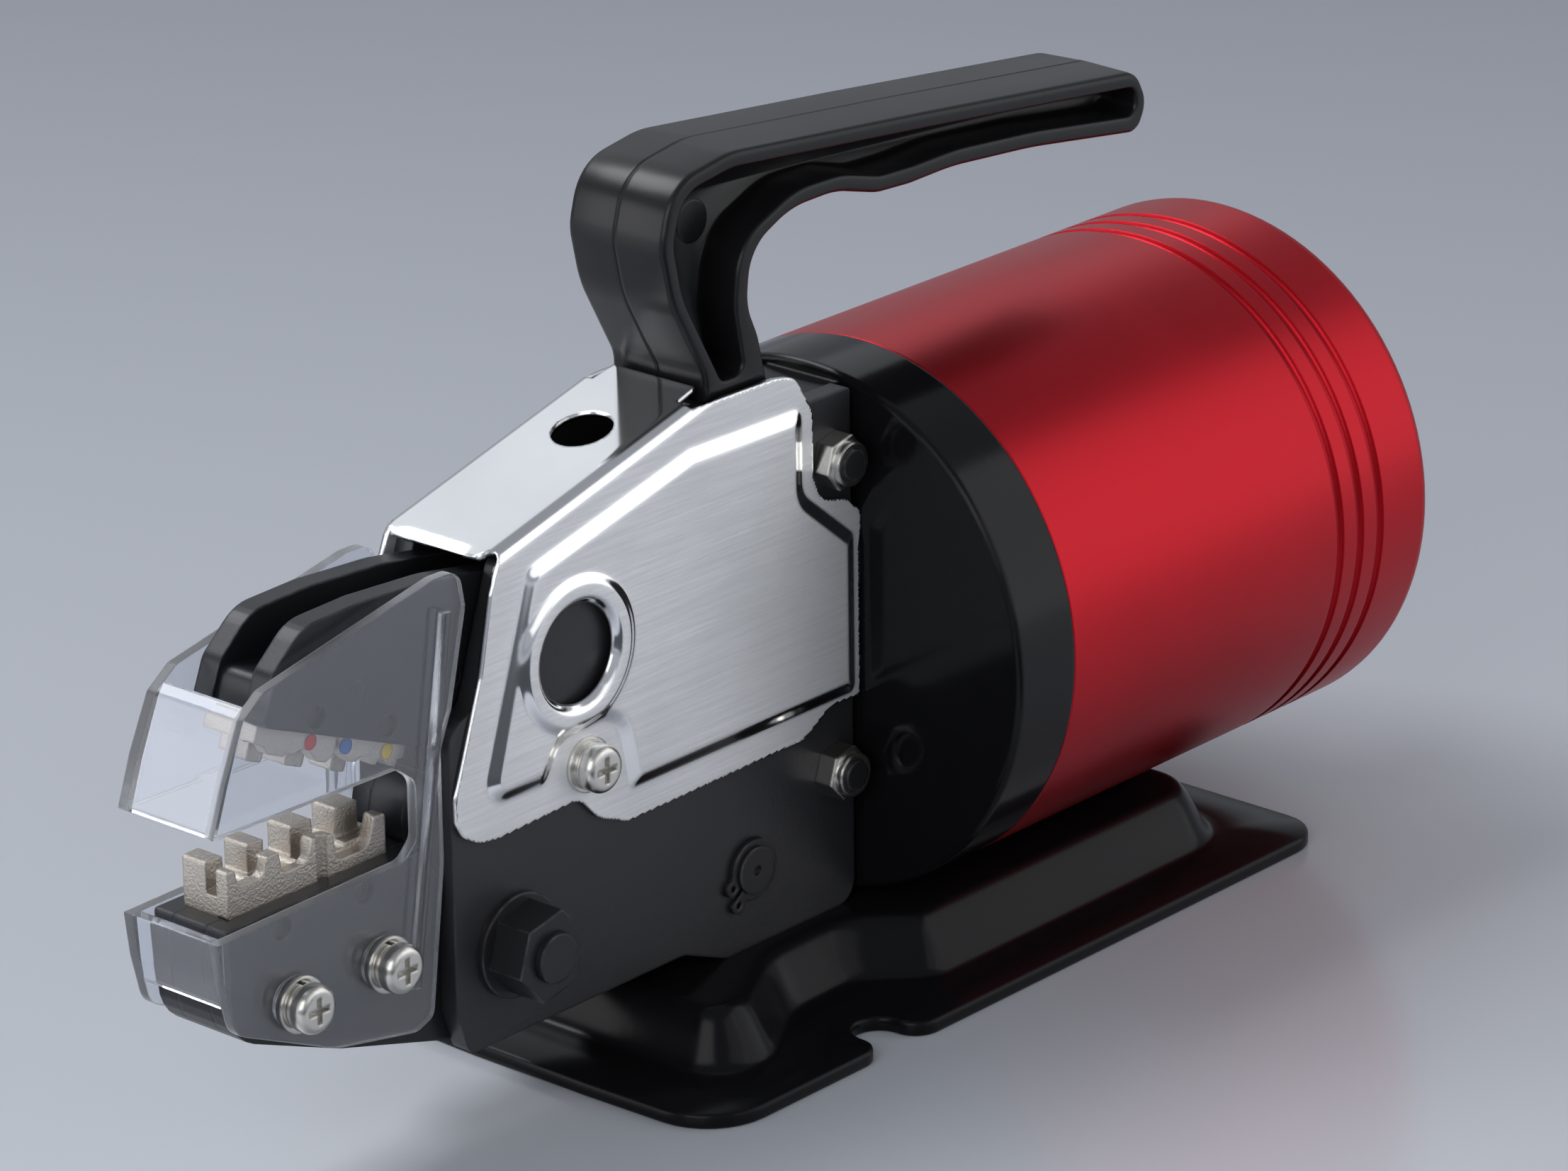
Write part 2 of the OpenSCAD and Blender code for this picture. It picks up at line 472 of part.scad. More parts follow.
cov_line = [[-93.9, -2, 0], [-92.5, -4.5], [-89.1, -6.4], [-85, -7], [-67, -6.2, 4], [-62.5, -10.8, 5], [-56, -13.4, 4],
  [-14, -12.7, 6], [-8, -9, 4], [-0.6, -9, 0.5], [-0.6, 16, 2], [0.2, 22, 3], [-3.5, 25.2, 2], [-9.5, 26.6, 4], [-11.4, 31, 3],
  [-11.4, 42, 3], [-15.5, 48.8, 4], [-20, 49.6, 2], [-39, 49.7, 1.5], [-41, 54], [-86, 42.2], [-81.5, 38.8],
  [-84.9, 32.9, 5], [-87.6, 20.1, 8], [-93.9, 2, 4]];
panel_line = [[-88.9, -1.5, 4], [-74.5, -1.5, 2], [-70.5, 4.9, 5], [-58.4, 4.9, 5], [-55.6, -8.4, 1.5], [-1.8, -8.2, 1.5],
  [-1.8, 19, 2], [-14, 29, 4], [-14, 43.6, 2], [-40.5, 43.9, 2], [-77.6, 34.9, 4]];
slope = atan2(13.2, 50.1);
top_p = [-34.3, 51.2];
// U section of the cover, R is its outer corner radius
module u_section(w, r, lift) translate([0, -60 + lift]) union() {
  translate([-w, 0]) square([2 * w, 60 - r]);
  translate([-w + r, 0]) square([2 * w - 2 * r, 60]);
  for (s = [-1, 1]) translate([s * (w - r), 60 - r]) circle(r = r);
}
module u_bar(w, r, lift) translate([top_p[0], 0, top_p[1]]) rotate([0, -slope, 0]) rotate([90, 0, -90])
  translate([0, 0, -60]) linear_extrude(160) u_section(w, r, lift);
module steel_cover() color(C_STEEL) at_axis() difference() {
  union() {
    intersection() {
      u_bar(cov_out, 2.6, 0.6);
      union() {
        slab(rounded(cov_line), -cov_out, cov_out);
        box([-40, -8.5, 45], [-35, 8.5, 56]);
      }
    }
    both() slab(rounded(panel_line), cov_in, cov_out + emboss);
    both() translate([-67.4, cov_out + emboss, 18.1]) rotate([-90, 0, 0]) difference() {
      cylinder(h = 1, r = 12.5); translate([0, 0, -1]) cylinder(h = 3, r = 9.6);
    }
  }
  u_bar(cov_in, 1.6, 0.6 - cover_t);
  both() slab(rounded(inset(panel_line, 0.8)), cov_in - 0.1, cov_in + emboss);
  bar([-67.4, 18.1], 8, -20, 20);
  bar(cov_screw, 2.1, -20, 20);
  translate([-51.5, 0, 30]) cylinder(h = 40, r = 5);
  both() translate([-86.2, cov_out - 1.6, 30]) rotate([0, 0, 8]) scale([1.7, 1, 1]) cylinder(h = 20, r = 1.9);
  box([-35, -20, 49.7], [40, 20, 70]);
}
module cross(d) for (a = [0, 90]) rotate([0, 0, a]) translate([-2.1, -0.45, -0.1]) cube([4.2, 0.9, d + 0.1]);
// Pan head screw along -Y, its head seated at y0 and its thread length l
module pan(p, y0, l) translate([p[0], -y0, p[1]]) rotate([-90, 0, 0]) union() {
  difference() {
    translate([0, 0, -2.6]) rotate_extrude() polygon(rounded([[0, 0], [3.9, 0, 1.2], [3.9, 2.6], [0, 2.6]]));
    translate([0, 0, -2.6]) cross(1.4);
  }
  translate([0, 0, -0.1]) cylinder(h = l + 0.1, r = 2);
}
module washers(p, y, t, r) both() ring(p, 2.1, r, y, y + t);
module cover_screws() color(C_STEEL) at_axis() both() pan(cov_screw, cov_out + 1.9, 5.2);
module cover_washers() color(C_STEEL) at_axis() { washers(cov_screw, cov_out, 0.8, 4.5); washers(cov_screw, cov_out + 0.85, 1, 3.7); }
module guard_screws() color(C_STEEL) at_axis() for (p = guard_screw) both() pan(p, guard_half + 1.9, 7.6);
module guard_flat_washers() color(C_STEEL) at_axis() for (p = guard_screw) washers(p, guard_half, 0.8, 4.5);
module guard_spring_washers() color(C_STEEL) at_axis() for (p = guard_screw) difference() {
  washers(p, guard_half + 0.85, 1, 3.6);
  box([p[0] - 0.5, -20, p[1]], [p[0] + 0.5, 20, p[1] + 6]);
}

handle_line = [[-19, 48.5], [-21, 57, 14], [-23.4, 62.3, 9], [-22.4, 70.8, 7.5], [-13, 75, 18], [-2.5, 75.2, 20],
  [9, 72.1, 9], [24, 72.4, 60], [46, 70.8, 120], [73.6, 67, 3.4], [76.2, 72.2, 5], [73.2, 78.1, 5], [19.3, 83.7, 200],
  [-27, 88.2, 20], [-40.8, 86, 9], [-43.6, 76, 9], [-41.5, 66.5, 20], [-34.1, 52.9, 6], [-34.1, 48.5]];
pocket_line = [[-29.4, 50.8, 2.8], [-24, 50.8, 2.8], [-26.2, 62.4, 12], [-25, 72.4, 9], [-12, 77.6, 18], [-1, 77.4, 20],
  [9.5, 74.7, 10], [26, 75, 60], [47, 73.2, 120], [73.3, 69.9, 2.4], [72.9, 75.2, 2.2], [19.6, 80.3, 200],
  [-26.5, 84.8, 16.5], [-37.9, 83.2, 6], [-40.3, 75.9, 6.5], [-38.3, 67.3, 17]];
module handle() color(C_BLACK) at_axis() difference() {
  union() {
    slab(rounded(handle_line), -handle_half, handle_half);
    box([-34.1, -gap_half + 0.2, 36.5], [-19, gap_half - 0.2, 48.6]);
  }
  both() slab(rounded(pocket_line), handle_half - handle_pocket, 20);
  for (p = [[-30.5, 42.5], [-23.5, 41]]) bar(p, 2.05, -20, 20);
}
module handle_pins() color(C_STEEL) at_axis() for (p = [[-30.5, 42.5], [-23.5, 41]]) bar(p, 2, -plate_y, plate_y);

guard_line = [[-142.3, -6.3, 0], [-141.5, -13, 4], [-139.5, -21.4, 4], [-119, -30.6, 10], [-101.8, -33.9, 4], [-98, -32.5, 2],
  [-94.8, -8, 10], [-94.8, 10, 3], [-92.2, 16, 3], [-88.5, 31.5, 3], [-89.6, 37.6, 3], [-95, 37.6, 4],
  [-131, 30.4, 2], [-135.5, 27.2, 2], [-139.6, 18.6, 6], [-142.3, 11.1, 3]];
inner_line = [[-140.5, -60], [-60, -60], [-60, 60], [-120, 60], [-133.6, 28.5, 2], [-137.8, 18.2, 6], [-140.5, 10.8, 3]];
mouth_line = [[-160, -6.2], [-103.3, -5.4, 2.5], [-100.4, -2.6, 2.5], [-100.4, 7, 3], [-104, 9.9, 2.5], [-160, 11]];
module guard() color(C_CLEAR) at_axis() difference() {
  union() {
    difference() {
      slab(rounded(guard_line), -guard_half, guard_half);
      slab(rounded(inner_line), -guard_half + guard_t, guard_half - guard_t);
    }
    both() for (p = guard_screw) bar(p, 4, gap_half + 0.05, guard_half - guard_t + 0.1);
    both() intersection() {
      translate([-93.2, guard_half, 32]) rotate([0, 188.75, 0]) cylinder(h = 59, r = 1.15);
      slab(rounded(guard_line), 5, 15);
    }
  }
  slab(rounded(mouth_line), -20, 20);
  for (p = guard_screw) bar(p, 2.1, -20, 20);
}

base_plate();
foot_block();
base_screws();
side_plate_left();
side_plate_right();
front_cap();
barrel_seal();
cylinder_barrel();
rod_bush();
rod_seal();
air_fitting();
fitting_release_ring();
piston();
piston_seal();
piston_wear_ring();
piston_nut();
piston_rod();
rod_fork();
roller_pins();
upper_roller();
lower_roller();
return_spring();
upper_jaw_cheek_left();
upper_jaw_cheek_right();
upper_jaw_arm();
jaw_rivets();
pivot_pin();
upper_die();
upper_die_pins();
dot_red();
dot_blue();
dot_yellow();
lower_jaw_cheek_left();
lower_jaw_cheek_right();
lower_jaw_core();
lower_jaw_rivets();
lower_die();
lower_die_pins();
jaw_bolt();
jaw_bolt_nut();
jaw_bolt_washers();
tail_pin();
tail_pin_circlips();
frame_bolts();
lock_nuts();
steel_cover();
cover_screws();
cover_washers();
handle();
handle_pins();
guard();
guard_screws();
guard_spring_washers();
guard_flat_washers();
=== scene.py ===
"""Looks of the pneumatic crimping tool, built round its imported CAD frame. Metres, +Z up."""

import json
import math

import bmesh
import bpy
import numpy as np
from mathutils import Matrix, Vector
from mathutils.geometry import delaunay_2d_cdt


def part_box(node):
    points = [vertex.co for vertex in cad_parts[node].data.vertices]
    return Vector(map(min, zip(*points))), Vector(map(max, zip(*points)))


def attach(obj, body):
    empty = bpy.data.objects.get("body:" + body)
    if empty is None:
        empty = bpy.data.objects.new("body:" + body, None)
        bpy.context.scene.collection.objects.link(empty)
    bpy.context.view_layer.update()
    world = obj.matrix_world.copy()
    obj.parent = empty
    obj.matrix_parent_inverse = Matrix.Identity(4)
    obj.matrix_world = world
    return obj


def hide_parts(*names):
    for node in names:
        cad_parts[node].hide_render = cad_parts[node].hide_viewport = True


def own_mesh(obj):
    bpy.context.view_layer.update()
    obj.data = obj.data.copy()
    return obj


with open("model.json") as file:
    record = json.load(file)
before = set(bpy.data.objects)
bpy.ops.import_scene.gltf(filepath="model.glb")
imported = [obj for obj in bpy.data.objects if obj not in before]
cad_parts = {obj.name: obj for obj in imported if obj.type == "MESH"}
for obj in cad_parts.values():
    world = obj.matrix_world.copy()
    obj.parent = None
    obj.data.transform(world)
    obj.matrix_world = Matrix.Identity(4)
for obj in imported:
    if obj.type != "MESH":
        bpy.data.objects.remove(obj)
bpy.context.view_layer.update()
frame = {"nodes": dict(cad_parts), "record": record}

MM = 0.001
# Where the cylinder's frame lies in the row frame, in millimetres: x from the cap's face, z from the axis
CAP_X = 22.5
AXIS_H = 56.5


# Node groups and materials

def new_material(name):
    """A material with its node tree and its Principled shader."""
    material = bpy.data.materials.new(name)
    material.use_nodes = True
    return material, material.node_tree, material.node_tree.nodes["Principled BSDF"]


def new_group(name, inputs, outputs):
    """A shader node group with its sockets; returns the tree, its input node and its output node."""
    tree = bpy.data.node_groups.new(name, "ShaderNodeTree")
    for label, kind, default in inputs:
        socket = tree.interface.new_socket(label, in_out="INPUT", socket_type=kind)
        socket.default_value = default
    for label, kind in outputs:
        tree.interface.new_socket(label, in_out="OUTPUT", socket_type=kind)
    return tree, tree.nodes.new("NodeGroupInput"), tree.nodes.new("NodeGroupOutput")


def feed(tree, socket, value):
    """Gives a socket another node's output, a colour or a plain value."""
    if isinstance(value, bpy.types.NodeSocket):
        tree.links.new(value, socket)
    elif socket.type == "RGBA":
        socket.default_value = (*value, 1)
    else:
        socket.default_value = value


def math_node(tree, operation, *values, clamp=False):
    node = tree.nodes.new("ShaderNodeMath")
    node.operation = operation
    node.use_clamp = clamp
    for socket, value in zip(node.inputs, values):
        feed(tree, socket, value)
    return node.outputs[0]


def map_range(tree, value, low, high, to_low=0.0, to_high=1.0):
    node = tree.nodes.new("ShaderNodeMapRange")
    tree.links.new(value, node.inputs["Value"])
    for label, number in (("From Min", low), ("From Max", high), ("To Min", to_low), ("To Max", to_high)):
        node.inputs[label].default_value = number
    return node.outputs["Result"]


def noise(tree, vector, scale, detail=3.0, rough=0.55):
    node = tree.nodes.new("ShaderNodeTexNoise")
    tree.links.new(vector, node.inputs["Vector"])
    feed(tree, node.inputs["Scale"], scale)
    node.inputs["Detail"].default_value = detail
    node.inputs["Roughness"].default_value = rough
    return node.outputs["Fac"]


def mix(tree, mask, low, high):
    """low where the mask is 0, high where it is 1; each is a number, a colour or another node's output."""
    node = tree.nodes.new("ShaderNodeMix")
    if isinstance(low, tuple) or isinstance(high, tuple):
        node.data_type = "RGBA"
    tree.links.new(mask, node.inputs["Factor"])
    feed(tree, node.inputs["A"], low)
    feed(tree, node.inputs["B"], high)
    return node.outputs["Result"]


def coordinates(tree, kind="Object"):
    """Texture coordinates of the given kind."""
    return tree.nodes.new("ShaderNodeTexCoord").outputs[kind]


def component(tree, vector, axis):
    """The x, y or z of a vector."""
    node = tree.nodes.new("ShaderNodeSeparateXYZ")
    tree.links.new(vector, node.inputs[0])
    return node.outputs[axis]


def dot_product(tree, first, second):
    node = tree.nodes.new("ShaderNodeVectorMath")
    node.operation = "DOT_PRODUCT"
    feed(tree, node.inputs[0], first)
    feed(tree, node.inputs[1], second)
    return node.outputs["Value"]


def grain_group():
    """Fine grain and slow blotches of a cast, blasted, coated or moulded surface."""
    tree, inp, out = new_group(
        "surface_grain",
        [("Scale", "NodeSocketFloat", 1500.0), ("Blotch Scale", "NodeSocketFloat", 40.0)],
        [("Height", "NodeSocketFloat"), ("Blotch", "NodeSocketFloat")])
    coords = coordinates(tree)
    fine = noise(tree, coords, inp.outputs["Scale"], 4.0, 0.6)
    slow = noise(tree, coords, inp.outputs["Blotch Scale"], 3.0, 0.5)
    tree.links.new(fine, out.inputs["Height"])
    tree.links.new(map_range(tree, slow, 0.3, 0.7), out.inputs["Blotch"])
    return tree


def brushed_group():
    """Long fine lines left by brushing or turning, along one direction."""
    tree, inp, out = new_group(
        "brushed_lines",
        [("Turn", "NodeSocketVector", (0.0, 0.0, 0.0)), ("Stretch", "NodeSocketVector", (1.0, 1.0, 1.0))],
        [("Lines", "NodeSocketFloat")])
    stretched = tree.nodes.new("ShaderNodeMapping")
    tree.links.new(coordinates(tree), stretched.inputs["Vector"])
    tree.links.new(inp.outputs["Turn"], stretched.inputs["Rotation"])
    tree.links.new(inp.outputs["Stretch"], stretched.inputs["Scale"])
    lines = noise(tree, stretched.outputs["Vector"], 1.0, 6.0, 0.75)
    tree.links.new(lines, out.inputs["Lines"])
    return tree


def wear_and_highlight_group():
    """Mask of the sharp outer edges, broken up by noise: where a coating wears, and where the dies get a
    painted edge highlight.
    """
    tree, inp, out = new_group(
        "edge_wear_and_highlight",
        [("Width", "NodeSocketFloat", 0.0006), ("Amount", "NodeSocketFloat", 0.5)],
        [("Mask", "NodeSocketFloat"), ("Rounded", "NodeSocketVector")])
    soft = tree.nodes.new("ShaderNodeBevel")
    soft.samples = 4
    tree.links.new(inp.outputs["Width"], soft.inputs["Radius"])
    hard = tree.nodes.new("ShaderNodeNewGeometry").outputs["Normal"]
    edge = map_range(tree, dot_product(tree, soft.outputs["Normal"], hard), 0.995, 0.80)
    broken = map_range(tree, noise(tree, coordinates(tree), 300.0, 4.0), 0.40, 0.65)
    mask = math_node(tree, "MULTIPLY", edge, broken)
    tree.links.new(math_node(tree, "MULTIPLY", mask, inp.outputs["Amount"], clamp=True), out.inputs["Mask"])
    tree.links.new(soft.outputs["Normal"], out.inputs["Rounded"])
    return tree


def rims_group():
    """Mask of a thin piece's narrow faces: farther out than its wall and not facing sideways."""
    wall = ("Wall", "NodeSocketFloat", 0.008)
    tree, inp, out = new_group("wall_rims", [wall], [("Mask", "NodeSocketFloat")])
    wide = math_node(tree, "ABSOLUTE", component(tree, coordinates(tree), "Y"))
    face = tree.nodes.new("ShaderNodeNewGeometry").outputs["True Normal"]
    sideways = math_node(tree, "ABSOLUTE", component(tree, face, "Y"))
    outer = math_node(tree, "GREATER_THAN", wide, inp.outputs["Wall"])
    narrow = math_node(tree, "LESS_THAN", sideways, 0.6)
    tree.links.new(math_node(tree, "MULTIPLY", outer, narrow), out.inputs["Mask"])
    return tree


def flats_group():
    """Mask of the faces that are square to the tool's width, fading out on the slopes of a pressing."""
    tree, _, out = new_group("side_flats", [], [("Mask", "NodeSocketFloat")])
    sideways = math_node(tree, "ABSOLUTE", component(tree, coordinates(tree, "Normal"), "Y"))
    tree.links.new(map_range(tree, sideways, 0.965, 0.995), out.inputs["Mask"])
    return tree


GRAIN = grain_group()
RIMS = rims_group()
FLATS = flats_group()
BRUSHED = brushed_group()
WEAR_AND_HIGHLIGHT = wear_and_highlight_group()


def use_group(tree, group, **values):
    node = tree.nodes.new("ShaderNodeGroup")
    node.node_tree = group
    for label, value in values.items():
        node.inputs[label.replace("_", " ")].default_value = value
    return node


def shade(color, share):
    """The colour, darkened to a share of its brightness."""
    return tuple(c * share for c in color)


def bump(tree, millimetres, height, normal):
    """A bump of the given depth on top of a normal."""
    node = tree.nodes.new("ShaderNodeBump")
    node.inputs["Distance"].default_value = millimetres * MM
    tree.links.new(height, node.inputs["Height"])
    tree.links.new(normal, node.inputs["Normal"])
    return node


def surface(name, color, roughness, metallic=0.0, grain=0.02, grain_scale=1500.0, blotch=0.06, edge=0.0006,
            wear_and_highlight=0.0, wear_and_highlight_color=(0.35, 0.35, 0.36), lines=None, line_depth=0.0, bright=None, **sockets):
    """A finish with grain, slow variation, softened edges and, where named, brushed lines and edges in
    another colour: worn coating on the dark pieces, a painted highlight on the dies.

    grain and line_depth are heights in millimetres; blotch is the spread of the roughness. bright is the
    roughness of the faces that aren't square to the tool's width, which the brushing doesn't reach.
    """
    material, tree, shader = new_material(name)
    shader.inputs["Metallic"].default_value = metallic
    for label, value in sockets.items():
        shader.inputs[label.replace("_", " ")].default_value = value
    skin = use_group(tree, GRAIN, Scale=grain_scale)
    worn_and_lit = use_group(tree, WEAR_AND_HIGHLIGHT, Width=edge, Amount=wear_and_highlight)
    base = mix(tree, skin.outputs["Blotch"], shade(color, 0.9), color)
    # Edge colour: wear on the dark coatings; on the dies it is a pale painted highlight
    if wear_and_highlight > 0:
        base = mix(tree, worn_and_lit.outputs["Mask"], base, wear_and_highlight_color)
    rough = map_range(tree, skin.outputs["Blotch"], 0, 1, roughness - blotch / 2, roughness + blotch / 2)
    if lines:
        strokes = use_group(tree, BRUSHED, Turn=lines[0], Stretch=lines[1])
        uneven = map_range(tree, strokes.outputs["Lines"], 0.3, 0.7, -0.05, 0.05)
        rough = math_node(tree, "ADD", rough, uneven)
    if bright is not None:
        flats = use_group(tree, FLATS).outputs["Mask"]
        rough = mix(tree, flats, bright, rough)
        tree.links.new(map_range(tree, flats, 0, 1, 1.0, metallic), shader.inputs["Metallic"])
        streaks = map_range(tree, strokes.outputs["Lines"], 0.38, 0.62, 0.0, 0.26)
        base = mix(tree, math_node(tree, "MULTIPLY", streaks, flats), base, shade(color, 0.55))
    tree.links.new(base, shader.inputs["Base Color"])
    tree.links.new(rough, shader.inputs["Roughness"])
    last = bump(tree, grain, skin.outputs["Height"], worn_and_lit.outputs["Rounded"])
    if lines:
        last = bump(tree, line_depth, strokes.outputs["Lines"], last.outputs["Normal"])
        if bright is not None:
            tree.links.new(flats, last.inputs["Strength"])
    tree.links.new(last.outputs["Normal"], shader.inputs["Normal"])
    return material


# Rims of the clear panes are looked for beyond this distance from the middle plane, in millimetres
RIM_FROM = 8.15


def clear_plastic(name):
    """Clear moulded plastic: a little haze, and rims that the mould left rougher than the faces."""
    material, tree, shader = new_material(name)
    shader.inputs["Base Color"].default_value = (0.93, 0.95, 1.0, 1)
    shader.inputs["Transmission Weight"].default_value = 0.95
    shader.inputs["IOR"].default_value = 1.46
    skin = use_group(tree, GRAIN, Scale=120.0, Blotch_Scale=60.0)
    rims = use_group(tree, RIMS, Wall=RIM_FROM * MM).outputs["Mask"]
    clear = map_range(tree, skin.outputs["Blotch"], 0, 1, 0.0, 0.03)
    tree.links.new(mix(tree, rims, clear, 0.40), shader.inputs["Roughness"])
    tree.links.new(map_range(tree, rims, 0, 1, 0.0, 0.8), shader.inputs["Sheen Weight"])
    shader.inputs["Sheen Roughness"].default_value = 0.35
    edges = use_group(tree, WEAR_AND_HIGHLIGHT, Width=0.0004, Amount=0.0)
    skin_bump = bump(tree, 0.01, skin.outputs["Height"], edges.outputs["Rounded"])
    tree.links.new(skin_bump.outputs["Normal"], shader.inputs["Normal"])
    return material


# The cover's top rises 13.2 mm in 50.1 mm towards the rear. Lines as (turn, stretch): round the x axis on
# turned pieces, along the slope on the brushed cover.
SLOPE = math.atan2(13.2, 50.1)
ROUND_X = ((0, 0, 0), (3000, 60, 60))
ALONG_SLOPE = ((0, SLOPE, 0), (50, 1900, 1900))

FINISH = {
    "base_black": surface("base_black_coat", (0.006, 0.006, 0.007), 0.22, grain=0.012, grain_scale=500,
                          Specular_IOR_Level=0.13),
    "jaw_black": surface("jaw_black_oxide", (0.02, 0.021, 0.025), 0.36, metallic=0.4, grain=0.02, wear_and_highlight=0.25),
    "plate_black": surface("plate_black_coat", (0.02, 0.02, 0.023), 0.42, grain=0.03, grain_scale=1200,
                           wear_and_highlight=0.1),
    "cap_black": surface("cap_black_coat", (0.006, 0.006, 0.007), 0.14, grain=0.008, grain_scale=400,
                         Specular_IOR_Level=0.18),
    "barrel_red": surface("barrel_red_anodised", (0.50, 0.008, 0.018), 0.33, metallic=0.85, grain=0.01,
                          grain_scale=2500, edge=0.0004),
    "black_fastener": surface("fastener_black", (0.02, 0.02, 0.023), 0.4, metallic=0.3, wear_and_highlight=0.35),
    "rubber_black": surface("rubber", (0.02, 0.02, 0.02), 0.7),
    "brass": surface("brass_turned", (0.76, 0.58, 0.31), 0.28, metallic=1.0, lines=ROUND_X, line_depth=0.01),
    "ring_blue": surface("ring_blue_plastic", (0.02, 0.09, 0.40), 0.35),
    "aluminium": surface("piston_aluminium", (0.7, 0.71, 0.72), 0.35, metallic=1.0),
    "wear_ptfe": surface("wear_band", (0.75, 0.72, 0.62), 0.5),
    "steel": surface("ground_steel", (0.55, 0.55, 0.56), 0.3, metallic=1.0),
    "zinc_fastener": surface("fastener_zinc", (0.72, 0.70, 0.66), 0.22, metallic=1.0, grain=0.01),
    # The dies' pale edge colour is a painted highlight along their edges
    "die_steel": surface("die_nickel_blasted", (0.61, 0.555, 0.495), 0.36, metallic=1.0, grain=0.16,
                         grain_scale=2300, edge=0.0005, wear_and_highlight=0.5, wear_and_highlight_color=(0.86, 0.83, 0.79)),
    "dot_red": surface("enamel_red", (0.85, 0.0, 0.01), 0.3),
    "dot_blue": surface("enamel_blue", (0.0, 0.18, 0.62), 0.3),
    "dot_yellow": surface("enamel_yellow", (0.95, 0.68, 0.01), 0.3),
    "cover_steel": surface("cover_pressed_steel", (0.95, 0.955, 0.97), 0.52, metallic=0.6, grain=0.0,
                           blotch=0.02, lines=ALONG_SLOPE, line_depth=0.04, bright=0.10),
    "handle_black": surface("handle_moulded_black", (0.009, 0.009, 0.010), 0.30, grain=0.012,
                            grain_scale=900, edge=0.0003, Specular_IOR_Level=0.30),
    "guard_clear": clear_plastic("guard_clear_plastic"),
}


def paint(obj, slot_name):
    obj.data.materials.clear()
    obj.data.materials.append(FINISH[slot_name])


SLOT_OF = {row["node"]: row["material_slot"] for row in frame["record"]["subparts"]}
for node_name, node_obj in frame["nodes"].items():
    paint(node_obj, SLOT_OF[node_name])


# Outlines and meshes of the replaced pieces, in millimetres in the cylinder's frame.
# A corner of a side outline is (x, z, radius), one of a plan outline (x, y, radius).

def unit(v):
    """The direction of a plane vector."""
    length = math.hypot(*v)
    return v[0] / length, v[1] / length


def corner(a, b, c, radius, count):
    """Points of the arc that rounds corner b between a and c."""
    u = unit((a[0] - b[0], a[1] - b[1]))
    v = unit((c[0] - b[0], c[1] - b[1]))
    half = math.acos(max(-1, min(1, u[0] * v[0] + u[1] * v[1]))) / 2
    m = unit((u[0] + v[0], u[1] + v[1]))
    mid = (b[0] + m[0] * radius / math.sin(half), b[1] + m[1] * radius / math.sin(half))
    cut = radius / math.tan(half)
    p = (b[0] + u[0] * cut, b[1] + u[1] * cut)
    q = (b[0] + v[0] * cut, b[1] + v[1] * cut)
    start = math.atan2(p[1] - mid[1], p[0] - mid[0])
    sweep = math.atan2(q[1] - mid[1], q[0] - mid[0]) - start
    sweep = (sweep + math.pi) % (2 * math.pi) - math.pi
    turns = [start + sweep * i / count for i in range(count + 1)]
    return [(mid[0] + radius * math.cos(turn), mid[1] + radius * math.sin(turn)) for turn in turns]


def rounded(points, count=6):
    """The outline's points, with count steps round each corner that has a radius."""
    out = []
    for i, p in enumerate(points):
        before, after = points[i - 1], points[(i + 1) % len(points)]
        if len(p) > 2 and p[2] > 0:
            out += corner(before[:2], p[:2], after[:2], p[2], count)
        else:
            out.append(tuple(p[:2]))
    return out


def inset(points, d, least=0.3):
    """A counter-clockwise control outline moved inwards by d."""
    out = []
    for i, p in enumerate(points):
        before, after = points[i - 1], points[(i + 1) % len(points)]
        a = unit((p[0] - before[0], p[1] - before[1]))
        b = unit((after[0] - p[0], after[1] - p[1]))
        left_a, left_b = (-a[1], a[0]), (-b[1], b[0])
        k = d / (1 + left_a[0] * left_b[0] + left_a[1] * left_b[1])
        turn = a[0] * b[1] - a[1] * b[0]
        radius = max(least, p[2] - d if turn > 0 else p[2] + d)
        out.append((p[0] + (left_a[0] + left_b[0]) * k, p[1] + (left_a[1] + left_b[1]) * k, radius))
    return out


def place(x, y, z):
    """A point of the cylinder's frame in the row frame, in metres."""
    return ((x + CAP_X) * MM, y * MM, (z + AXIS_H) * MM)


def add_object(name, data):
    obj = bpy.data.objects.new(name, data)
    bpy.context.scene.collection.objects.link(obj)
    return obj


def flat_sheet(name, low, high, z=0.0):
    """A rectangle that lies level, in metres."""
    mesh = bpy.data.meshes.new(name)
    corners = [(low[0], low[1], z), (high[0], low[1], z), (high[0], high[1], z), (low[0], high[1], z)]
    mesh.from_pydata(corners, [], [(0, 1, 2, 3)])
    return add_object(name, mesh)


def mesh_object(name, verts, faces, smooth_angle=40):
    """An object with merged points, outward faces and smooth shading up to the given angle."""
    mesh = bpy.data.meshes.new(name)
    mesh.from_pydata(verts, [], faces)
    mesh.validate()
    work = bmesh.new()
    work.from_mesh(mesh)
    bmesh.ops.remove_doubles(work, verts=work.verts, dist=1e-7)
    bmesh.ops.recalc_face_normals(work, faces=work.faces)
    for face in work.faces:
        face.smooth = True
    for edge in work.edges:
        if len(edge.link_faces) == 2 and edge.calc_face_angle(0) > math.radians(smooth_angle):
            edge.smooth = False
    work.to_mesh(mesh)
    work.free()
    return add_object(name, mesh)


def stand_in(obj, node, body="frame"):
    """obj takes a CAD node's place, its body and its finish."""
    paint(obj, SLOT_OF[node])
    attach(obj, body)
    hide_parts(node)


def ring_faces(start, count, rows):
    """Quads between rows of count points each, the rows closed on themselves."""
    return [(start + r * count + i, start + r * count + (i + 1) % count,
             start + (r + 1) * count + (i + 1) % count, start + (r + 1) * count + i)
            for r in range(rows - 1) for i in range(count)]


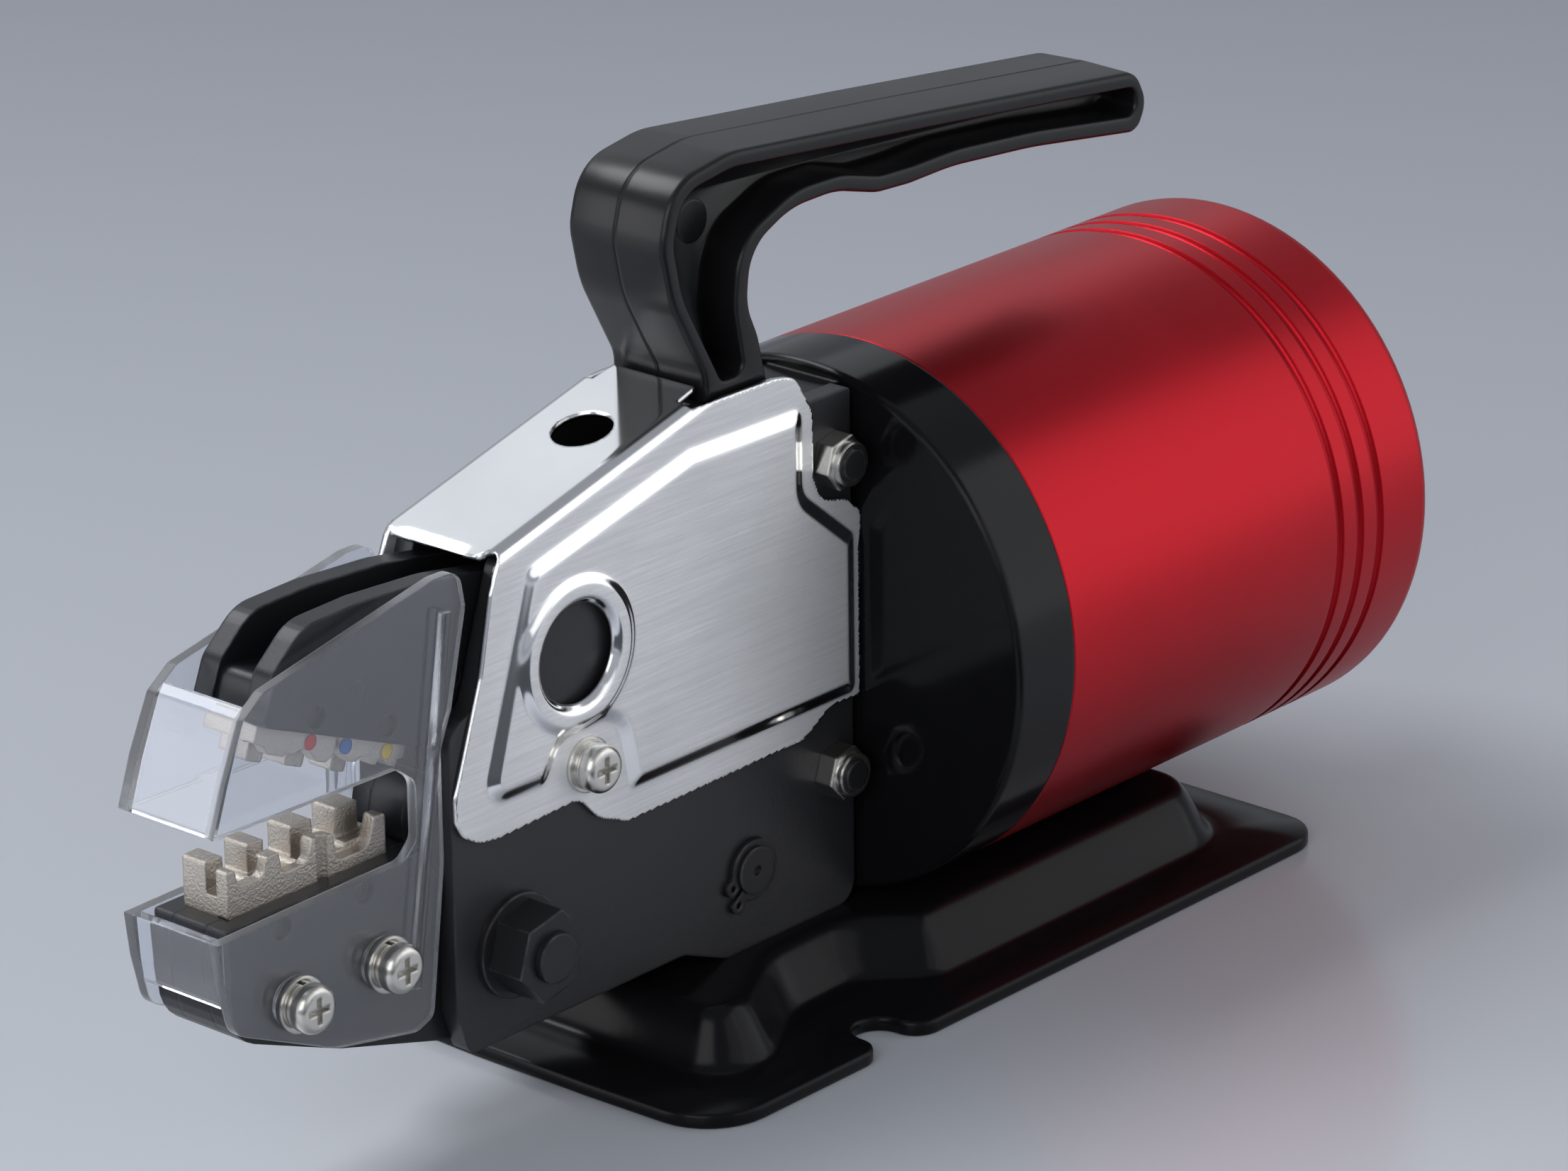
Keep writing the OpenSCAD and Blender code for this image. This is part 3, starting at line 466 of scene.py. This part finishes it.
HANDLE_LINE = [(-19, 48.5, .02), (-21, 57, 14), (-23.4, 62.3, 9), (-22.4, 70.8, 7.5), (-13, 75, 18),
               (-2.5, 75.2, 20), (7.4, 72.5, 14), (15.5, 72.1, 24), (26, 72.4, 60), (46, 70.8, 120),
               (73.6, 67, 3.4), (76.2, 72.2, 5), (73.2, 78.1, 5), (19.3, 83.7, 200), (-27, 88.2, 20),
               (-40.8, 86, 9), (-43.6, 76, 9), (-41.5, 66.5, 20), (-34.1, 52.9, 6), (-34.1, 48.5, .02)]
POCKET_LINE = [(-30.4, 50.8, 2.6), (-24, 50.8, 2.6), (-26.2, 62.4, 12), (-25, 72.4, 9), (-12, 77.6, 18),
               (-1, 77.4, 20), (8, 75.0, 14), (16, 74.7, 24), (27, 74.9, 60), (47, 73.2, 120),
               (73.6, 69.6, 2.6), (73.0, 75.8, 2.6), (19.2, 81.3, 200), (-26.8, 85.8, 17.5),
               (-38.8, 84.1, 6.8), (-41.1, 76, 6.8), (-39.2, 66.9, 17.8)]
# Rows of the handle's sides as (distance from the middle plane, inset)
HANDLE_SKIN = [(0.04, 0.10), (0.14, 0.0), (0.7, 0.005), (4.0, 0.12), (8.9, 0.28), (9.5, 0.4), (9.85, 0.7),
               (9.97, 1.0), (10.0, 1.35)]
HANDLE_POCKET = [(10.0, 0.0), (9.93, 0.3), (9.7, 0.5), (9.2, 0.6), (3.2, 0.8), (2.4, 0.95), (2.05, 1.2)]
# The round mark that the mould left in the pocket: its middle, its points and its rows as (radius, distance)
MARK_AT = (-27.9, 75.4)
MARK_POINTS = 48
MARK_ROWS = [(3.5, 1.9), (3.5, 2.1), (3.35, 2.2), (3.15, 2.22)]


def make_handle():
    """Moulded handle: drafted skin from the parting line out, rounded rims and a pocket in each side."""
    verts, faces, parting = [], [], []
    for side in (-1, 1):
        loops = []
        for rows, control, least in ((HANDLE_SKIN, HANDLE_LINE, 0.02), (HANDLE_POCKET, POCKET_LINE, 0.3)):
            start = len(verts)
            for y, d in rows:
                line = rounded(inset(control, d, least), 8)
                verts += [place(x, side * y, z) for x, z in line]
            count = len(line)
            faces += ring_faces(start, count, len(rows))
            loops.append((start, count, len(rows)))
        (outer, outer_count, outer_rows), (inner, inner_count, inner_rows) = loops
        parting.append(outer)
        rim = outer + (outer_rows - 1) * outer_count
        mouth = range(inner, inner + inner_count)
        faces += fill_between(verts, range(rim, rim + outer_count), mouth, (0, 2))
        web = inner + (inner_rows - 1) * inner_count
        faces.append(tuple(range(web, web + inner_count)))
        mark = len(verts)
        for r, y in MARK_ROWS:
            verts += [place(x, side * y, z) for x, z in circle(MARK_AT, r, MARK_POINTS)]
        faces += ring_faces(mark, MARK_POINTS, len(MARK_ROWS))
        faces.append(tuple(range(mark, mark + MARK_POINTS)))
        faces.append(tuple(range(len(verts) - MARK_POINTS, len(verts))))
    low, high = parting
    count = outer_count
    faces += [(low + i, low + (i + 1) % count, high + (i + 1) % count, high + i) for i in range(count)]
    stand_in(mesh_object("carrying_handle", verts, faces, 55), "handle")


def make_spring():
    """Return spring inside the barrel: held at the cap, and in the real tool shortened as the piston comes
    forward.
    """
    low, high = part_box("return_spring")
    wire, radius, turns = 1.6, 20.0, 5
    around, per_turn = 12, 40
    front = low.x / MM - CAP_X + wire
    rear = high.x / MM - CAP_X - wire
    steps = per_turn * turns
    verts = []
    for i in range(steps + 1):
        turn = 2 * math.pi * turns * i / steps
        x = front + (rear - front) * i / steps
        for j in range(around):
            section = 2 * math.pi * j / around
            r = radius + wire * math.cos(section)
            verts.append(place(x + wire * math.sin(section), r * math.cos(turn), r * math.sin(turn)))
    faces = ring_faces(0, around, steps + 1)
    faces += [tuple(range(around)), tuple(range(steps * around, (steps + 1) * around))]
    spring = mesh_object("return_spring_wire", verts, faces)
    stand_in(spring, "return_spring")
    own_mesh(spring)


# One half of the base's two plan outlines; the other half is its mirror image
BASE_LINE = [(-67.3, -12, .02), (-66.4, -39, 11.5), (-26.8, -39, 4), (-26.8, -30, 4.28),
             (-18.2, -30, 4.28), (-18.2, -39, 4.7), (89.5, -39, 8)]
FOOT_LINE = [(-55, -29.3, 10), (-41, -29.3, 12), (-26, -20, 15), (-11.5, -19.5, 9), (-1.5, -29.3, 7.5),
             (80, -29.3, 14)]
# The flange's thickness, the platform's rise above it, and the width and thickness of the soft wall
SHEET = 2.5
RISE = 9
WALL_RUN = 6.9
WALL_SHEET = 2.2


def flip(points):
    """The mirror image of half a plan outline, in the order that closes it."""
    return [(p[0], -p[1], p[2]) for p in reversed(points)]


def make_base():
    """Pressed base: a flange with rolled edges and a raised platform with a soft wall."""
    floor = -AXIS_H
    sheet = BASE_LINE + flip(BASE_LINE)
    foot = FOOT_LINE + flip(FOOT_LINE)
    verts, faces = [], []
    # The soft wall and the flange's edge as (inset, height)
    wall = [(-1.6, 0.0)]
    steps = 14
    for i in range(steps + 1):
        t = i / steps
        wall.append((WALL_RUN * (t * 0.86 + 0.14 * t * t), RISE * (t * t * (3 - 2 * t))))
    wall += [(7.8, RISE + 0.02), (9.5, RISE + 0.03)]
    edge = [(0.5, 0), (0.2, 0.1), (0, 0.4), (0, 1.9), (0.15, 2.3), (0.5, SHEET)]

    def add_rows(outline, least, extra, lift, profile):
        """Rows of the outline, inset and lifted by the profile; returns their first point and size."""
        start = len(verts)
        for d, h in profile:
            row = rounded(inset(outline, d + extra, least), 8)
            verts.extend(place(x, y, floor + lift + h) for x, y in row)
        faces.extend(ring_faces(start, len(row), len(profile)))
        return start, len(row)

    _, count = add_rows(foot, 0.5, 0, SHEET, wall)
    faces.append(tuple(range(len(verts) - count, len(verts))))
    under, _ = add_rows(foot, 0.5, WALL_SHEET, 0, wall[1:])
    faces.append(tuple(range(len(verts) - count, len(verts))))
    rim, size = add_rows(sheet, 0.02, 0, 0, edge)
    top = len(verts) - size
    faces += fill_between(verts, range(top, top + size), range(0, count))
    faces += fill_between(verts, range(rim, rim + size), range(under, under + count))
    stand_in(mesh_object("pressed_base", verts, faces, 60), "base_plate")


def fill_between(verts, outer, inner, axes=(0, 1)):
    """Triangles of the flat face between two loops of vertices, which lie in the plane of those axes."""
    loops = [list(outer), list(inner)]
    index = [i for loop in loops for i in loop]
    flat = [Vector((verts[i][axes[0]], verts[i][axes[1]])) / MM for i in index]
    first = len(loops[0])
    edges = [(i, (i + 1) % first) for i in range(first)]
    edges += [(first + i, first + (i + 1) % len(loops[1])) for i in range(len(loops[1]))]
    spots, _, tris, origin, _, _ = delaunay_2d_cdt(flat, edges, [], 0, 1e-5)
    where = []
    for spot, sources in zip(spots, origin):
        if not sources:
            extra = list(verts[index[0]])
            extra[axes[0]], extra[axes[1]] = spot[0] * MM, spot[1] * MM
            verts.append(tuple(extra))
        where.append(index[sources[0]] if sources else len(verts) - 1)
    mids = np.array([sum((spots[i] for i in tri), Vector((0, 0))) / 3 for tri in tris])
    keep = inside(mids, flat[:first]) & ~inside(mids, flat[first:])
    return [tuple(where[i] for i in tri) for tri, kept in zip(tris, keep) if kept]


def inside(points, line):
    """Which of the points lie inside the closed line."""
    hit = np.zeros(len(points), bool)
    x, y = points[:, 0], points[:, 1]
    for i in range(len(line)):
        a, b = line[i - 1], line[i]
        if a[1] != b[1]:
            cross = (b[0] - a[0]) * (y - a[1]) / (b[1] - a[1]) + a[0]
            hit ^= ((a[1] > y) != (b[1] > y)) & (x < cross)
    return hit


def line_distance(points, line):
    """How far each point lies from the closed line."""
    best = np.full(len(points), 1e9)
    for i in range(len(line)):
        a, b = np.array(line[i - 1][:2]), np.array(line[i][:2])
        ab = b - a
        t = np.clip(((points - a) @ ab) / max(1e-9, ab @ ab), 0, 1)
        best = np.minimum(best, np.hypot(*(points - a - t[:, None] * ab).T))
    return best


def smooth_step(t):
    """An even rise from 0 to 1 with soft ends."""
    t = np.clip(t, 0, 1)
    return t * t * (3 - 2 * t)


# The cover's side outline; its three sharp corners lie at the folded top
COVER_FRONT = (-86, 42.2)
COVER_CHIN = (-81.5, 38.8)
COVER_REAR = (-41, 54)
COVER_LINE = [(-93.9, -2, 2), (-92.5, -4.5, 3), (-89.1, -6.4, 3), (-85, -7, 3), (-67, -6.2, 4),
              (-62.5, -10.8, 5), (-56, -13.4, 4), (-14, -12.7, 6), (-8, -9, 4), (-0.6, -9, 0.5),
              (-0.6, 16, 2), (0.2, 22, 3), (-3.5, 25.2, 2), (-9.5, 26.6, 4), (-11.4, 31, 3),
              (-11.4, 42, 3), (-15.5, 48.8, 4), (-20, 49.6, 2), (-39, 49.7, .3),
              COVER_REAR, COVER_FRONT, COVER_CHIN, (-84.9, 32.9, 5), (-87.6, 20.1, 8), (-93.9, 2, 4)]
PANEL_LINE = [(-88.9, -1.5, 4), (-74.5, -1.5, 2), (-70.5, 4.9, 5), (-58.4, 4.9, 5), (-55.6, -8.4, 1.5),
              (-1.8, -8.2, 1.5), (-1.8, 19, 2), (-14, 29, 4), (-14, 43.6, 2), (-40.5, 43.9, 2),
              (-77.6, 34.9, 4)]
# The top face passes COVER_LIFT above TOP_POINT. The side faces stand COVER_SIDE from the middle plane, and
# bends of radius COVER_BEND join them to the top, which is flat up to COVER_FLAT from the middle plane.
TOP_POINT = (-34.3, 51.2)
COVER_LIFT = 0.6
COVER_SIDE = 12.05
COVER_BEND = 2.6
COVER_FLAT = COVER_SIDE - COVER_BEND
COVER_ARC = COVER_BEND * math.pi / 2
COVER_SHEET = 1.0
WINDOW = (-67.4, 18.1)
WINDOW_RADIUS = 8.0
TOP_HOLE = (-51.5, 47.3)
TOP_HOLE_RADIUS = 5.0
# Points of the flat pattern: a grid, kept clear of the rings of points round the windows
GRID_STEP = 0.45
GRID_CLEAR = 13.5
RING_STEP = 0.3
RING_REACH = 5.4
RING_POINTS = 96
# Heights of the pressing and the widths of their slopes: the raised panel, the collar round the window with
# its inner and outer radius, the seat inside it, and the lip at the front of the top
PANEL_LIFT, PANEL_SLOPE = 0.95, 3.4
COLLAR_LIFT, COLLAR_SLOPE = 0.75, 2.2
COLLAR_INNER, COLLAR_OUTER = 7.6, 13.2
SEAT_DROP, SEAT_SLOPE, SEAT_RADIUS = 0.5, 1.4, 9.2
LIP_DROP, LIP_SLOPE, LIP_LENGTH = 0.9, 4.5, 3.0


def to_sheet(x, z):
    """A point of the cover's outline as (distance along the slope, distance round the bend)."""
    dx, dz = x - TOP_POINT[0], z - TOP_POINT[1]
    along = dx * math.cos(SLOPE) + dz * math.sin(SLOPE)
    drop = COVER_LIFT - (dz * math.cos(SLOPE) - dx * math.sin(SLOPE))
    if drop >= COVER_BEND:
        return along, COVER_FLAT + COVER_ARC + drop - COVER_BEND
    return along, COVER_FLAT + COVER_BEND * math.acos(1 - max(0, drop) / COVER_BEND)


def from_sheet(along, across, height):
    """Position of a sheet point in the cylinder's frame, raised by height along the outer normal."""
    w = abs(across)
    turn = min(math.pi / 2, max(0, (w - COVER_FLAT) / COVER_BEND))
    y = min(w, COVER_FLAT) + (COVER_BEND + height) * math.sin(turn)
    n = COVER_LIFT - COVER_BEND + (COVER_BEND + height) * math.cos(turn)
    n -= max(0, w - COVER_FLAT - COVER_ARC)
    x = TOP_POINT[0] + along * math.cos(SLOPE) - n * math.sin(SLOPE)
    z = TOP_POINT[1] + along * math.sin(SLOPE) + n * math.cos(SLOPE)
    return x, math.copysign(y, across), z


def cover_outline():
    """The closed outline of the flat pattern, with the sharp notches beside the front of the folded top."""
    line = rounded(COVER_LINE, 6)
    tops = [i for i, p in enumerate(line) if p in (COVER_REAR, COVER_FRONT, COVER_CHIN)]
    side = [to_sheet(*p) for p in line[tops[-1] + 1:] + line[:tops[0]]]
    front = to_sheet(*COVER_FRONT)[0]
    rear = to_sheet(-35, 51.6)[0]
    shoulder_at = to_sheet(-39.6, 51)[0]
    notch = [(0, -0.4), (0.8, 0.3), (2.0, 0.9), (2.4, 1.5), (2.2, 2.4)]
    notch = [(front + a, COVER_FLAT + w) for a, w in notch]
    shoulder = [(shoulder_at, COVER_FLAT + 0.3), (shoulder_at, 8.8), (rear, 8.5)]
    half = notch + side + shoulder
    return split_long(half + [(a, -w) for a, w in reversed(half)], 0.9)


def make_cover():
    """Pressed steel cover: a flat pattern with its embossed panels, folded over the head."""
    outline = [Vector(p) for p in cover_outline()]
    window = to_sheet(*WINDOW)
    top_hole = (to_sheet(*TOP_HOLE)[0], 0.0)
    holes = [circle(top_hole, TOP_HOLE_RADIUS, 40)]
    holes += [circle((window[0], s * window[1]), WINDOW_RADIUS, 56) for s in (1, -1)]
    points = list(outline)
    edges = [(i, (i + 1) % len(outline)) for i in range(len(outline))]
    for hole in holes:
        start = len(points)
        points += hole
        edges += [(start + i, start + (i + 1) % len(hole)) for i in range(len(hole))]
    for s in (1, -1):
        for d in np.arange(RING_STEP, RING_REACH, RING_STEP):
            points += circle((window[0], s * window[1]), WINDOW_RADIUS + d, RING_POINTS)
    low_a, high_a = min(p[0] for p in outline), max(p[0] for p in outline)
    high_w = max(p[1] for p in outline)
    rows, columns = np.mgrid[low_a:high_a:GRID_STEP, -high_w:high_w:GRID_STEP]
    rows = rows + 0.5 * GRID_STEP * (np.arange(columns.shape[1]) % 2)
    grid = np.column_stack((rows.ravel(), columns.ravel()))
    keep = inside(grid, outline)
    for s in (1, -1):
        keep &= np.hypot(grid[:, 0] - window[0], grid[:, 1] - s * window[1]) > GRID_CLEAR
    points += [Vector(p) for p in grid[keep]]
    points, _, tris, _, _, _ = delaunay_2d_cdt(points, edges, [], 0, 1e-5)
    flat_points = np.array(points)
    tris = np.array(tris)
    mids = flat_points[tris].mean(axis=1)
    keep = inside(mids, outline)
    for hole in holes:
        keep &= ~inside(mids, hole)
    tris = tris[keep]
    heights = cover_height(flat_points)
    verts = [place(*from_sheet(p[0], p[1], h)) for p, h in zip(flat_points, heights)]
    mesh = bpy.data.meshes.new("pressed_cover")
    mesh.from_pydata(verts, [], tris.tolist())
    cover = add_object("pressed_cover", mesh)
    stand_in(cover, "steel_cover")
    outward = sum(face.normal.z for face in mesh.polygons if abs(face.normal.y) < 0.3)
    if outward < 0:
        mesh.flip_normals()
    for face in mesh.polygons:
        face.use_smooth = True
    thick = cover.modifiers.new("sheet", "SOLIDIFY")
    thick.thickness = COVER_SHEET * MM
    thick.offset = -1


def split_long(line, most):
    """The closed line with points added so that no step is longer than most."""
    out = []
    for i, p in enumerate(line):
        q = line[(i + 1) % len(line)]
        parts = max(1, math.ceil(math.dist(p, q) / most))
        out += [(p[0] + (q[0] - p[0]) * k / parts, p[1] + (q[1] - p[1]) * k / parts) for k in range(parts)]
    return out


def circle(middle, radius, count):
    """Points of a circle, as vectors."""
    return [Vector((middle[0] + radius * math.cos(2 * math.pi * i / count),
                    middle[1] + radius * math.sin(2 * math.pi * i / count))) for i in range(count)]


def cover_height(points):
    """How far the pressing stands out at each point of the flat pattern."""
    w = np.abs(points[:, 1])
    side = w > COVER_FLAT + COVER_ARC
    fall = COVER_LIFT - COVER_BEND - (w - COVER_FLAT - COVER_ARC)
    x = TOP_POINT[0] + points[:, 0] * math.cos(SLOPE) - fall * math.sin(SLOPE)
    z = TOP_POINT[1] + points[:, 0] * math.sin(SLOPE) + fall * math.cos(SLOPE)
    spots = np.column_stack((x, z))
    panel = rounded(PANEL_LINE, 5)
    d = line_distance(spots, panel) * np.where(inside(spots, panel), 1, -1)
    r = np.hypot(x - WINDOW[0], z - WINDOW[1])
    raised = smooth_step((d + 0.4) / PANEL_SLOPE)
    collar = smooth_step((COLLAR_OUTER - r) / COLLAR_SLOPE) * smooth_step((r - COLLAR_INNER) / COLLAR_SLOPE)
    seat = smooth_step((SEAT_RADIUS - r) / SEAT_SLOPE)
    pressed = PANEL_LIFT * raised + COLLAR_LIFT * collar - SEAT_DROP * seat
    front = to_sheet(*COVER_FRONT)[0]
    bent = smooth_step((front + LIP_LENGTH - points[:, 0]) / LIP_SLOPE)
    lip = -LIP_DROP * bent * smooth_step((COVER_FLAT + 2 - w) / 6)
    return np.where(side, pressed, np.where(w < COVER_FLAT, lip, 0.0))


# Camera, floor and light

# The camera's place, its three angles in degrees, and its focal length and picture width in pixels
CAMERA_AT = Vector((-762.823 + CAP_X, -671.526, 390.283 + AXIS_H)) * MM
CAMERA_TURN, CAMERA_LIFT, CAMERA_ROLL = -48.451, 20.685, -0.779
LENS_PX = 9500.0
FRAME_PX = 2213.0
SENSOR = 36.0
# The floor reaches this far each way, in metres
FLOOR_REACH = 40.0


def make_camera():
    a, e, r = (math.radians(v) for v in (CAMERA_TURN, CAMERA_LIFT, CAMERA_ROLL))
    back = Vector((math.sin(a) * math.cos(e), -math.cos(a) * math.cos(e), math.sin(e)))
    right = Vector((math.cos(a), math.sin(a), 0))
    up = back.cross(right)
    rolled_right = right * math.cos(r) + up * math.sin(r)
    rolled_up = up * math.cos(r) - right * math.sin(r)
    data = bpy.data.cameras.new("camera")
    data.sensor_width = SENSOR
    data.lens = LENS_PX / FRAME_PX * SENSOR
    data.clip_start = 0.05
    data.clip_end = 50
    camera = add_object("camera", data)
    turn = Matrix((rolled_right, rolled_up, back)).transposed().to_4x4()
    camera.matrix_world = Matrix.Translation(CAMERA_AT) @ turn
    bpy.context.scene.camera = camera


def make_floor():
    """Pale satin floor with painted shade: its colour darkens towards the far corner."""
    floor = flat_sheet("floor", (-FLOOR_REACH, -FLOOR_REACH), (FLOOR_REACH, FLOOR_REACH))
    material, tree, shader = new_material("floor_pale")
    away = dot_product(tree, coordinates(tree), (0.75, 0.66, 0))
    # Painted shade: the floor's colour falls from pale to dark grey towards the far corner
    painted_falloff = map_range(tree, away, -0.12, 0.62)
    tree.links.new(mix(tree, painted_falloff, (0.56, 0.585, 0.635), (0.285, 0.30, 0.345)), shader.inputs["Base Color"])
    shader.inputs["Roughness"].default_value = 0.20
    shader.inputs["Specular IOR Level"].default_value = 0.5
    floor.data.materials.append(material)


def make_card():
    """Dark card in front of the tool, hidden from the camera; polished edges mirror it as a dark band."""
    card = flat_sheet("dark_card", (-0.42, -0.55), (0.02, -0.13), MM)
    material, tree, shader = new_material("card_dark")
    shader.inputs["Base Color"].default_value = (0.03, 0.037, 0.045, 1)
    shader.inputs["Roughness"].default_value = 0.8
    one_sided = tree.nodes.new("ShaderNodeMixShader")
    tree.links.new(tree.nodes.new("ShaderNodeNewGeometry").outputs["Backfacing"], one_sided.inputs[0])
    tree.links.new(shader.outputs[0], one_sided.inputs[1])
    tree.links.new(tree.nodes.new("ShaderNodeBsdfTransparent").outputs[0], one_sided.inputs[2])
    tree.links.new(one_sided.outputs[0], tree.nodes["Material Output"].inputs["Surface"])
    card.data.materials.append(material)
    card.visible_camera = False
    card.visible_diffuse = False
    card.visible_transmission = False
    card.visible_shadow = False


def area_light(name, at, aim, size, watts, tint=(1, 1, 1), spread=180):
    """A rectangular lamp at one place that aims at another; its spread is in degrees."""
    data = bpy.data.lights.new(name, "AREA")
    data.shape = "RECTANGLE"
    data.size, data.size_y = size
    data.energy = watts
    data.spread = math.radians(spread)
    data.color = tint
    light = add_object(name, data)
    light.location = at
    light.rotation_euler = (Vector(aim) - Vector(at)).to_track_quat("-Z", "Y").to_euler()


def make_light():
    """A grey room, a little brighter in mirrors than as light, and six lamps."""
    world = bpy.data.worlds.new("studio")
    bpy.context.scene.world = world
    world.use_nodes = True
    tree = world.node_tree
    sky = tree.nodes["Background"]
    height = map_range(tree, component(tree, coordinates(tree, "Generated"), "Z"), -0.1, 0.9)
    path = tree.nodes.new("ShaderNodeLightPath")
    glossy = math_node(tree, "MAXIMUM", path.outputs["Is Camera Ray"], path.outputs["Is Glossy Ray"])
    seen = math_node(tree, "MAXIMUM", glossy, path.outputs["Is Transmission Ray"])
    mirrored = mix(tree, height, (0.37, 0.39, 0.425), (0.28, 0.295, 0.32))
    tree.links.new(mix(tree, seen, (0.25, 0.265, 0.29), mirrored), sky.inputs["Color"])
    sky.inputs["Strength"].default_value = 1.0
    middle = (0.02, 0.0, 0.06)
    area_light("high_behind", (0.46, 0.72, 0.92), middle, (1.3, 0.9), 1.7, (0.93, 0.965, 1.0))
    area_light("overhead", (-0.25, 0.75, 1.25), middle, (0.7, 0.7), 11.5, (0.97, 0.985, 1.0))
    area_light("low_right", (0.72, -0.68, 0.36), (0.06, 0, 0.06), (0.8, 0.9), 2.2)
    area_light("low_left", (-1.05, 0.72, 0.32), (-0.1, 0, 0.06), (0.8, 0.6), 1.4, spread=120)
    area_light("front_left", (-1.3, -0.5, 0.7), middle, (0.9, 0.9), 6)
    area_light("front_right", (0.2, -1.3, 0.6), middle, (0.9, 0.9), 1.9)


make_spring()
make_handle()
make_base()
make_cover()
make_camera()
make_floor()
make_card()
make_light()
bpy.context.scene.view_settings.view_transform = "Standard"

bpy.context.view_layer.update()
